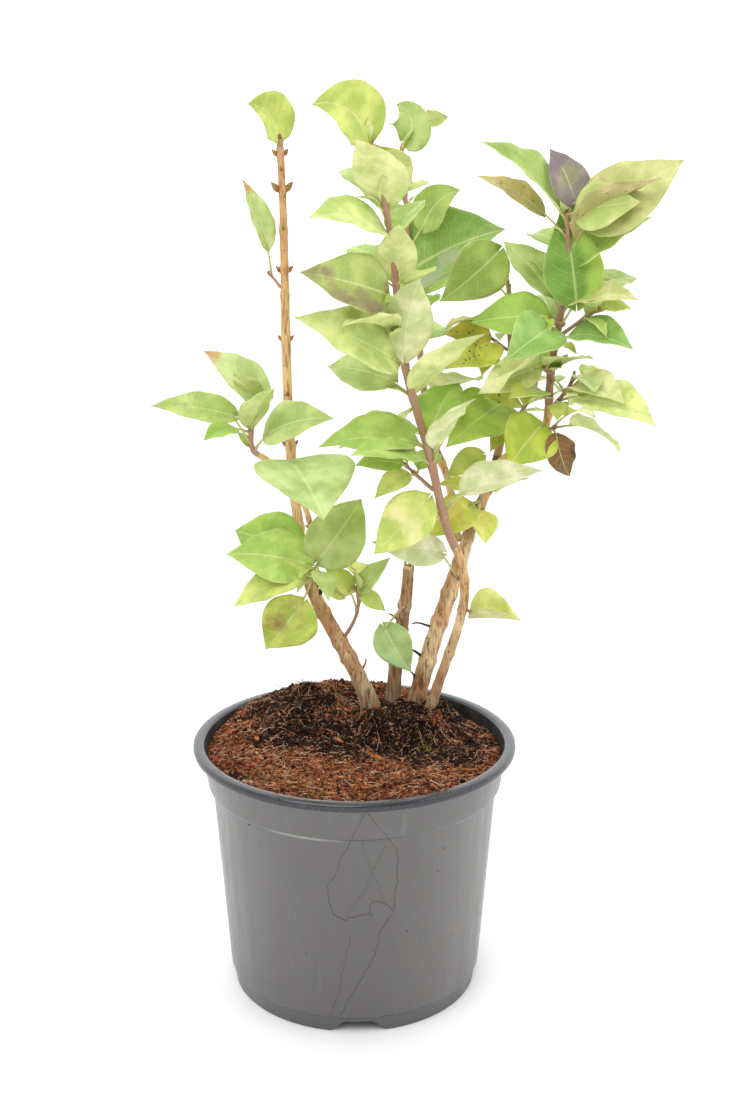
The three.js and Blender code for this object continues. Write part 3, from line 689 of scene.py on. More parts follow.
litter = {
    # how many, smallest and largest, colours, and the damp they lie in
    "crumbs": {
        "count": 9500, "size": (0.4, 1.5), "first": (50, 26, 18), "second": (170, 98, 62), "damp": 0,
    },
    "blackCrumbs": {
        "count": 9000, "size": (0.4, 1.8), "first": (16, 11, 9), "second": (50, 34, 26), "damp": 1,
    },
    # pale grit, strewn thickly so that it also stands for painted glints on the compost
    "paleGritAndGlints": {
        "count": 3200, "size": (0.25, 0.75), "first": (228, 184, 142), "second": (176, 120, 78),
        "damp": 0.4,
    },
    "moss": {
        "count": 520, "size": (0.4, 1), "first": (104, 106, 34), "second": (160, 154, 76), "damp": None,
    },
}
mossSpots = [(42, -3, 7), (49, -8, 4), (-29, -50, 7), (-60, -46, 6), (-21, -66, 5), (-16, 72, 9)]


def settles(dice, kind, x, y):  # whether a crumb or fibre of that kind lies there
    if math.hypot(x, y) > compost["radius"] - compost["litterGap"]:
        return False
    own = kind["damp"]
    return own is None or dice.random() < compost["stray"] - abs(damp(x, y) - own)


def setLitter(name, bm, kind, scale):
    skin = speckled(name, kind["first"], kind["second"], scale)
    setPiece(name, bm, [skin], ["root_ball"])


def makeCrumbs():
    dice = random.Random(compost["seed"])
    shape = bmesh.new()
    bmesh.ops.create_icosphere(shape, subdivisions=1, radius=1)
    for vert in shape.verts:
        vert.co *= 1 + 0.55 * noise.noise(vert.co * 2.1)
    template = toMesh("crumb", shape)
    for name, kind in litter.items():
        bm = bmesh.new()
        for number in range(kind["count"]):
            x, y = someSpot(dice, compost["radius"])
            if name == "moss":
                spotX, spotY, spread = dice.choice(mossSpots)
                x, y = dice.gauss(spotX, spread * 0.6), dice.gauss(spotY, spread * 0.5)
            if not settles(dice, kind, x, y):
                continue
            size = dice.uniform(*kind["size"])
            place = Vector((x, y, soilHeight(x, y) + size * 0.25))
            strew(bm, template, place, tumbled(dice), (size, size * dice.uniform(0.4, 1), size * 0.7))
        setLitter(name, bm, kind, 260)
    bpy.data.meshes.remove(template)


fibres = {
    "coirFibres": {
        "count": 7600, "length": (3, 9), "width": (0.12, 0.3), "first": (192, 114, 74),
        "second": (72, 38, 25), "damp": 0.1, "loft": 1.5,
    },
    "darkFibres": {
        "count": 5200, "length": (3, 9), "width": (0.12, 0.3), "first": (78, 50, 36),
        "second": (26, 18, 14), "damp": 0.9, "loft": 5,
    },
    # pale fibres, strewn thickly so that they also stand for painted glints on the compost
    "paleFibresAndGlints": {
        "count": 3400, "length": (3, 14), "width": (0.11, 0.2), "first": (246, 212, 178),
        "second": (178, 118, 84), "damp": 0.5, "loft": 2.8,
    },
}
longRoots = [
    [(-52, 60), (-62, 42), (-67, 14), (-59, -6)], [(-61, -2), (-57, -12), (-52, -20), (-46, -32)],
    [(44, -35), (54, -33), (62, -35), (72, -31)], [(60, 2), (66, -4), (68, -14), (64, -20)],
    [(-20, 8), (-6, 14), (8, 2), (12, -12)], [(20, -46), (34, -40), (44, -48), (56, -44)],
]
hairs = {
    "count": 34, "place": (-46, 52), "spread": 20, "rise": (3, 13), "first": (222, 182, 140),
    "second": (160, 110, 76), "width": 0.2, "longWidth": 0.34, "parts": 12,
}


def fibreCurve(dice, kind, x, y):
    length = dice.uniform(*kind["length"])
    around = dice.uniform(0, math.tau)
    step = Vector((math.cos(around), math.sin(around), 0)) * length / 3
    edge = compost["radius"] - compost["fibreGap"]
    points = []
    for part in range(4):
        at = Vector((x, y, 0)) + step * part
        at += Vector((dice.gauss(0, 0.9), dice.gauss(0, 0.9), 0))
        if at.length > edge:
            at = at.normalized() * edge
        at.z = soilHeight(at.x, at.y) + dice.uniform(0.1, kind["loft"] if part in (1, 2) else 0.5)
        points.append(at)
    return Curve(*points)


def makeFibres():
    dice = random.Random(compost["seed"] + 1)
    for name, kind in fibres.items():
        bars = []
        for number in range(kind["count"]):
            x, y = someSpot(dice, compost["radius"] - compost["rootGap"])
            if not settles(dice, kind, x, y):
                continue
            curve = fibreCurve(dice, kind, x, y)
            if curve.chord() > 1:
                bars.append((curve, dice.uniform(*kind["width"])))
        bm = bmesh.new()
        addBars(bm, *barMesh["fibre"], bars)
        setLitter(name, bm, kind, 300)
    makeHairRoots(dice)


def makeHairRoots(dice):
    bars = []
    for route in longRoots:
        curve = Curve(*[(x, y, 0) for x, y in route])
        spots = [curve.at(part / hairs["parts"]) for part in range(hairs["parts"] + 1)]
        for spot in spots:
            spot.z = soilHeight(spot.x, spot.y) + dice.uniform(0.4, 1)
        for a, b in zip(spots, spots[1:]):
            bars.append((Curve(a, a.lerp(b, 0.33), a.lerp(b, 0.67), b), hairs["longWidth"]))
    placeX, placeY = hairs["place"]
    for number in range(hairs["count"]):
        x, y = dice.gauss(placeX, hairs["spread"]), dice.gauss(placeY, hairs["spread"] * 0.5)
        if math.hypot(x, y) > compost["radius"] - compost["rootGap"]:
            continue
        foot = Vector((x, y, soilHeight(x, y) - 0.5))
        rise = dice.uniform(*hairs["rise"])
        lean = Vector((dice.gauss(-1, 5), dice.gauss(0, 4), 0))
        elbow = foot + lean * 0.6 + Vector((0, 0, rise))
        tip = foot + lean * 1.3 + Vector((0, 0, rise * dice.uniform(0.7, 1.15)))
        bars.append((Curve(foot, foot + Vector((0, 0, rise * 0.5)), elbow, tip), hairs["width"]))
    bm = bmesh.new()
    addBars(bm, *barMesh["hair"], bars)
    setLitter("hairRoots", bm, hairs, 300)


chip = {
    "thick": 1.1, "rise": 0.9, "tilt": 0.12, "cuts": 3, "first": (172, 112, 66),
    "second": (116, 72, 44),
}
chips = [
    # x, y, degrees round, length, width
    (11, -14, 305, 19, 3.4), (-10, 4, 310, 9, 2.2), (43, -33, 0, 14, 2), (42, -44, 325, 12, 2.4),
    (64, -37, 5, 12, 1.3), (26, -24, 320, 10, 1.7), (-21, -28, 330, 9, 2.4), (70, 20, 80, 8, 2.4),
    (-58, 6, 100, 9, 2.6), (8, -62, 15, 7, 2), (-12, -66, 170, 6, 2.4), (-66, -22, 60, 7, 1.8),
    (46, 30, 40, 10, 2.6), (-10, 60, 20, 12, 2.4), (28, 66, 150, 10, 3), (-52, 50, 75, 9, 2),
    (68, 26, 110, 8, 2.2), (2, -50, 100, 7, 1.5), (58, -34, 45, 6, 1.6), (-44, -58, 20, 8, 1.7),
]


def makeChips():
    dice = random.Random(compost["seed"] + 2)
    bm = bmesh.new()
    for x, y, degrees, length, width in chips:
        before = len(bm.verts)
        sliver = bmesh.ops.create_cube(bm, size=1)["verts"]
        edges = {edge for vert in sliver for edge in vert.link_edges}
        bmesh.ops.subdivide_edges(bm, edges=list(edges), cuts=chip["cuts"], use_grid_fill=True)
        verts = newVerts(bm, before)
        turn = math.radians(degrees)
        tilt = dice.uniform(-chip["tilt"], chip["tilt"])
        for vert in verts:
            along = vert.co.x * length
            taper = 1 - 0.5 * abs(vert.co.x) ** 2 * 4 * dice.uniform(0.5, 0.8)
            across = vert.co.y * width * taper
            high = vert.co.z * chip["thick"] + along * tilt
            wobble = noise.noise(Vector((along * 0.4 + x, across, high + y)))
            px = x + math.cos(turn) * along - math.sin(turn) * (across + wobble * 0.5)
            py = y + math.sin(turn) * along + math.cos(turn) * (across + wobble * 0.5)
            vert.co = (px, py, soilHeight(x, y) + chip["rise"] + high + wobble * 0.4)
    skin = speckled("chipWood", chip["first"], chip["second"], 180, (1, 1, 0.4))
    setPiece("barkChips", bm, [skin], ["root_ball"])


# The stems and boughs, each a curve of four points and its radius at foot and tip.
crown = compost["crown"] + 0.3

stems = {
    "left_stem": {
        "path": [[10.5, 26, crown], [0, 22, 194], [-24, 30, 218], [-29, 30, 246]],
        "radius": [5.1, 3.8], "soot": [0.7, 0],
        "flare": 1.4, "knots": [0.34, 0.44, 0.66, 0.9], "age": [1, 0.8],
    },
    "stump": {
        "path": [[23, 34.5, crown], [24, 33, 189], [31, 33, 216], [32, 34, 244]],
        "radius": [4.4, 3.4], "flare": 0.8, "knots": [0.3, 0.5, 0.72], "age": [1, 0.95],
        "soot": [0.8, 0.35],
    },
    "right_stem": {
        "path": [[36.5, 31, crown], [44, 36, 192], [56, 35, 224], [66, 40, 256]],
        "radius": [5.2, 4.6], "neck": 3.7, "soot": [0.7, 0],
        "flare": 1, "knots": [0.28, 0.52, 0.7, 0.9], "age": [1, 0.85],
    },
    "front_stem": {
        "path": [[45, 21.5, crown], [53, 17, 197], [74, 9, 231], [58, 3, 264]],
        "radius": [3, 2.6], "soot": [0.7, 0], "flare": 1, "knots": [0.35, 0.62, 0.8], "age": [0.9, 0.6],
    },
}
boughs = {
    "left_cane": {
        "on": "left_stem", "at": 1, "path": [[-37, 39, 409], [-41, 40, 484]], "radius": [3.2, 2.1],
        "knots": [0.1, 0.3, 0.39, 0.55, 0.66, 0.72, 0.81, 0.9, 0.99], "age": [0.62, 0.42],
    },
    "left_bough": {
        "on": "left_stem", "at": 0.9, "path": [[-22, 25, 272], [-30, 15, 303], [-54, 14, 316]],
        "radius": [1.8, 1.5], "knots": [0.3, 0.62, 0.98], "age": [0.7, 0.5],
    },
    "back_bough": {
        "on": "right_stem", "at": 0.9, "path": [[60, 48, 268], [59, 53, 288], [52, 58, 303]],
        "radius": [2.6, 2.2], "knots": [0.4, 0.98], "age": [0.8, 0.6],
    },
    "right_bough": {
        "on": "right_stem", "at": 1, "path": [[80, 44, 290], [84, 45, 308]], "radius": [3.6, 2.6],
        "knots": [0.1, 0.4, 0.9], "age": [0.85, 0.6], "soot": [0, 0.8],
    },
    "right_shoot_bough": {
        "on": "right_bough", "at": 0.9, "path": [[95, 36, 316], [112, 24, 320], [111, 23, 343]],
        "radius": [2.5, 2.3], "knots": [0.35, 0.72, 0.93], "age": [0.7, 0.5],
    },
}
grain = {
    "sides": 18,
    "ringLength": 1.5,
    "ridges": 0.1,
    "knotSwell": 0.32,
    "knotLength": 2.6,
    "stemSink": 6,  # how far a foot is sunk in what it grows from
    "boughSink": 2.5,
    "twigSink": 2.2,
    "past": 1.4,  # how far a limb reaches on into the next
    "torn": 6,  # how ragged the stump's top is
    "old": (194, 151, 106),
    "oldPale": (240, 218, 172),
    "fissure": (92, 58, 36),
    "cane": (214, 170, 112),
    "streak": (150, 92, 58),
    "speck": (58, 38, 28),
    "young": (170, 134, 108),
    "petiole": (196, 204, 124),
    "bud": (142, 76, 54),
    "budTip": (150, 140, 62),
    "wound": (222, 196, 156),
    "soot": (50, 35, 28),
    "blush": (166, 104, 74),
    "pore": (232, 212, 176),
}
bodies = {}  # each limb's curve and its radius at foot and tip


def growOn(parent, at, path, ownRadius, gap=0.3):
    start = parent["curve"].at(at)
    points = [Vector(point) for point in path]
    along = parent["curve"].along(at)
    if at == 1:
        start = start + along * gap
        reach = (start - points[-1]).length / 3
        return Curve(start, start + along * reach, *points)
    out = (points[0] - start).normalized()
    slant = abs(out.dot(along))
    parentRadius = mix(*parent["radius"], at)
    square = math.sqrt(1 - slant * slant)
    return Curve(start + out * ((parentRadius + gap + ownRadius * slant) / square), *points)


def barkLook():
    # the age of the wood runs from 0, this year's green shoot, to 1, old bark
    look = Shader("lilacBark", base=grain["petiole"])
    age, wound, soot = look.apart(look.attribute("wood", "Vector"))
    furrows = look.noise(420, 5, (1, 1, 0.16))
    plates = look.noise(110, 4, (1, 1, 0.3))
    streaks = look.noise(900, 4, (1, 1, 0.1))
    look.coat(look.between(age, 0.04, 0.14), grain["young"])
    look.coat(look.between(age, 0.32, 0.5), grain["cane"])
    look.coat(look.between(age, 0.5, 0.85), grain["old"])
    light = look.times(look.between(plates, 0.4, 0.62), 0.85)
    look.coat(look.times(light, look.between(age, 0.3, 0.9)), grain["oldPale"])
    fine = look.times(look.between(streaks, 0.52, 0.36), look.between(age, 0.16, 0.4))
    look.coat(fine, grain["streak"], 0.75)
    dark = look.times(look.between(furrows, 0.46, 0.32), look.between(age, 0.4, 1.2))
    look.coat(dark, grain["fissure"])
    specks = look.times(look.between(look.cells(210), 0.13, 0.08), look.between(age, 0.2, 0.4))
    look.coat(specks, grain["speck"], 0.85)
    look.coat(look.between(look.noise(45, 3), 0.5, 0.7), grain["blush"], 0.4)
    look.coat(look.between(look.cells(330, "F1", (1, 1, 0.55)), 0.2, 0.1), grain["pore"], 0.4)
    look.coat(look.between(wound, 0.4, 0.6), grain["wound"])
    look.coat(look.times(soot, look.between(plates, 0.3, 0.5)), grain["soot"])
    look.dress("Roughness", look.calc("MULTIPLY_ADD", age, 0.35, 0.5))
    look.bump(look.calc("MULTIPLY_ADD", streaks, 0.5, look.times(furrows, age)), 1.5)
    return look.material


def budLook():
    look = Shader("budScale", 0.5, grain["bud"])
    up = look.noise(500, 3, (1, 1, 0.3))
    look.coat(look.between(up, 0.35, 0.7), grain["budTip"])
    look.bump(up, 0.3, 0.8)
    return look.material


def addWood(bm, limb, reach=(0, 1), torn=0):
    # one limb with ridged bark, swellings where leaves or boughs leave it, and a flare at its foot
    curve = limb["curve"]
    length = curve.chord() * (reach[1] - reach[0])
    rings = max(6, int(length / grain["ringLength"]))
    verts = roundBar(bm, grain["sides"], rings)
    knots = limb.get("knots", [])
    flare = limb.get("flare", 0)
    low, high = limb["radius"]
    neck = limb.get("neck", high)
    age = limb["age"]

    def radiusAt(share, spot):
        inside = min(1, max(0, share))
        radius = mix(low, high, inside) + flare * math.exp(-14 * inside) * 1.3
        radius = mix(radius, neck, max(0, inside - 0.8) * 5)
        near = min([abs(share - knot) * length for knot in knots], default=99)
        radius += grain["knotSwell"] * math.exp(-(near / grain["knotLength"]) ** 2) * radius * 0.5
        old = mix(*age, inside)
        long = Vector((spot.x * 0.5, spot.y * 0.5, spot.z * 0.07))
        ridge = noise.noise(long) * 0.6 + noise.noise(long * 2.7) * 0.4
        bumps = noise.noise(spot * 0.22)
        return radius * (1 + grain["ridges"] * old * ridge + 0.07 * bumps)

    last = [vert for vert in verts if vert.co.z > 0.499]
    lay = bm.verts.layers.float_vector["wood"]
    for vert in verts:
        share = vert.co.z + 0.5
        vert[lay] = (mix(*age, share), 0, mix(*limb.get("soot", (0, 0)), min(1, share * 3)))
    bendBar(verts, rings, curve, radiusAt, reach)
    if torn:
        along = curve.along(1)
        for vert in last:
            vert.co += along * noise.noise(vert.co * 0.9) * torn
            vert[lay] = (1, 1, 0)


def addBud(bm, foot, toward, size):
    sides, rings = barMesh["bud"]
    verts = roundBar(bm, sides, rings)
    tip = foot + toward.normalized() * size
    curve = Curve(foot, foot.lerp(tip, 0.33), foot.lerp(tip, 0.66), tip)
    bendBar(verts, rings, curve, lambda share, spot: size * 0.3 * math.sin(math.pi * (
        0.12 + 0.86 * share ** 0.8)) ** 0.8)


def addBudPair(bm, limb, share, turn, size):
    # two buds either side of a limb, each pair a quarter turn on from the last
    along = limb["curve"].along(share)
    side = along.cross(Vector((0, 1, 0))).normalized()
    out = Matrix.Rotation(math.radians(turn), 3, along) @ side
    radius = mix(*limb["radius"], share)
    for way in (out, -out):
        foot = limb["curve"].at(share) + way * radius * 0.75
        addBud(bm, foot, along * 0.9 + way * 0.75, size)


budPairs = {  # share up the limb, turn and size
    "left_cane": [(0.1, 90, 3), (0.3, 10, 4), (0.42, 95, 4), (0.55, 0, 4), (0.71, 10, 5), (0.81, 90, 4),
                  (0.9, 10, 7), (0.95, 90, 3), (0.985, 10, 5)],
    "left_bough": [(0.3, 20, 2.6)],
    "right_bough": [(0.42, 60, 3.2)],
    "right_shoot_bough": [(0.4, 10, 3)],
    "back_bough": [(0.45, 40, 3)],
    "front_stem": [(0.36, 70, 2.6)],
    "right_stem": [(0.7, 30, 2.4)],
    "left_stem": [(0.66, 80, 2.6)],
}
deadTwigs = [
    # limb, share up it, degrees round, degrees up, length, width
    ("left_stem", 0.72, 320, 78, 14, 1.7), ("left_stem", 0.8, 340, 62, 8, 1.2),
    ("left_stem", 0.98, 190, 60, 8, 1), ("left_stem", 0.2, 30, 70, 9, 1),
    ("right_stem", 0.5, 190, 5, 12, 0.9), ("right_stem", 0.3, 195, 25, 9, 1.1),
    ("right_stem", 0.62, 330, 40, 5, 1.1), ("right_stem", 0.12, 200, 60, 8, 1),
    ("stump", 0.42, 20, 62, 9, 1.1), ("stump", 0.3, 195, 55, 12, 1.2), ("stump", 0.6, 185, 30, 7, 0.8),
    ("stump", 0.97, 170, 66, 3, 1.3), ("stump", 0.97, 20, 60, 3.4, 1.5), ("stump", 0.98, 290, 80, 2.6, 1.2),
    ("right_bough", 0.28, 185, 38, 17, 1.2), ("right_bough", 0.5, 350, 50, 7, 1),
]


def addDeadTwig(bm, limb, share, turn, rise, long, width):
    along = heading(turn, rise)
    foot = limb["curve"].at(share)
    end = foot + along * (long + limb["radius"][1])
    side = along.cross(Vector((0, 1, 0))) * long * 0.3
    soot = [1, 1] if long > 4 else [0, 0]
    curve = Curve(foot, foot.lerp(end, 0.3) + side, foot.lerp(end, 0.7) - side, end)
    addWood(bm, {"curve": curve, "radius": [width, width * 0.5], "age": [1, 1], "soot": soot}, torn=1)


def makeWood():
    for name, stem in stems.items():
        bodies[name] = {**stem, "curve": Curve(*stem["path"])}
    for name, bough in boughs.items():
        curve = growOn(bodies[bough["on"]], bough["at"], bough["path"], bough["radius"][0])
        bodies[name] = {**bough, "curve": curve}
    bark = barkLook()
    for name, limb in bodies.items():
        bm = bmesh.new()
        bm.verts.layers.float_vector.new("wood")
        length = limb["curve"].chord()
        sink = grain["stemSink"] if name in stems else grain["boughSink"]
        past, torn = (0, grain["torn"]) if name == "stump" else (grain["past"], 0)
        addWood(bm, limb, (-sink / length, 1 + past / length), torn)
        for owner, *twig in deadTwigs:
            if owner == name:
                addDeadTwig(bm, limb, *twig)
        setPiece(name + "_wood", bm, [bark], [name])
    bm = bmesh.new()
    for name, pairs in budPairs.items():
        for share, turn, size in pairs:
            addBudPair(bm, bodies[name], share, turn, size)
    setPiece("woodBuds", bm, [budLook()], list(bodies))


# What a leaf does unless its shoot or its own row says otherwise.
usual = {
    "stalk": [17, 13], "size": [54, 46], "rise": 15, "broad": 0.66, "droop": 35, "fold": 16,
    "bend": 0, "sway": 18, "stray": 14,
}

# The colours that a leaf may have: its face, the underside if it is not the usual, a second
# colour, and how much of that comes as a patch, as specks, along the margin, at the tip and
# over one half, where the second colour is painted light.
underside = (221, 231, 166)
lit = (1.22, 1.14, 1.2)  # light that comes through a leaf brightens it by this much

looks = {
    "lime": {"face": (196, 212, 112)},
    "fresh": {"face": (172, 205, 106)},
    "grass": {"face": (156, 193, 82)},
    # its lighter second colour over one half is painted light
    "deep": {"face": (116, 160, 62), "under": (150, 190, 110), "second": (180, 209, 94), "half": 0.9},
    "moss": {"face": (156, 184, 92)},
    "sage": {"face": (178, 199, 122)},
    "mint": {"face": (186, 210, 142)},
    "palm": {"face": (203, 218, 142)},
    "blueGreen": {"face": (149, 190, 100)},
    "olive": {"face": (199, 204, 136), "second": (170, 150, 96), "patch": 0.25},
    "pale": {"face": (226, 234, 174)},
    # pale cream, brightened as painted light coming through the leaf from behind
    "creamBacklit": {"face": (238, 240, 194), "under": (236, 240, 186)},
    "butter": {"face": (208, 223, 124), "second": (247, 240, 176), "patch": 0.45},
    "plumPatch": {"face": (176, 193, 112), "second": (134, 112, 92), "patch": 0.36, "tip": 0.6},
    "brownRim": {"face": (166, 192, 84), "second": (150, 116, 62), "margin": 0.8, "specks": 0.3},
    "brownSpot": {"face": (184, 205, 122), "second": (134, 92, 58), "patch": 0.3, "specks": 0.4},
    "yellowSpots": {"face": (206, 211, 88), "second": (112, 78, 40), "specks": 0.8, "margin": 0.2},
    "blackSpecks": {"face": (198, 208, 84), "second": (50, 40, 30), "specks": 1},
    "burnt": {"face": (198, 194, 80), "second": (112, 62, 40), "margin": 0.9, "specks": 0.8},
    "rustTip": {"face": (194, 213, 146), "second": (204, 134, 94), "tip": 0.9},
    "amber": {
        "face": (190, 176, 120), "under": (196, 184, 134), "second": (140, 112, 76), "patch": 0.3,
        "specks": 0.9,
    },
    "plum": {"face": (164, 152, 142), "second": (127, 110, 122), "patch": 0.6},
    "gold": {"face": (234, 230, 116), "second": (214, 202, 96), "patch": 0.4},
    "lemon": {"face": (246, 247, 146), "under": (244, 246, 160), "second": (252, 248, 180), "patch": 0.4},
    "greyTop": {"face": (136, 174, 84), "second": (164, 176, 140), "patch": 0.4, "margin": 0.3},
    "acid": {"face": (190, 209, 78)},
    "paleSpot": {"face": (216, 229, 148), "second": (150, 110, 70), "patch": 0.15, "specks": 0.4},
    "limeSpot": {"face": (196, 214, 100), "second": (134, 92, 58), "patch": 0.36, "specks": 0.3},
    "jade": {"face": (180, 207, 142), "second": (152, 198, 134), "patch": 0.4},
    "mauveRim": {"face": (160, 186, 94), "second": (196, 180, 150), "patch": 0.2, "margin": 0.7},
    "grassPale": {"face": (176, 204, 92)},
    "dead": {"face": (132, 92, 56), "under": (152, 112, 70), "second": (86, 56, 38), "patch": 0.5},
}


def leaf(turn, lift, size, look, **more):  # what one leaf does differently from its shoot's rule
    return {"turn": turn, "lift": lift, "size": size, "look": look, **more}


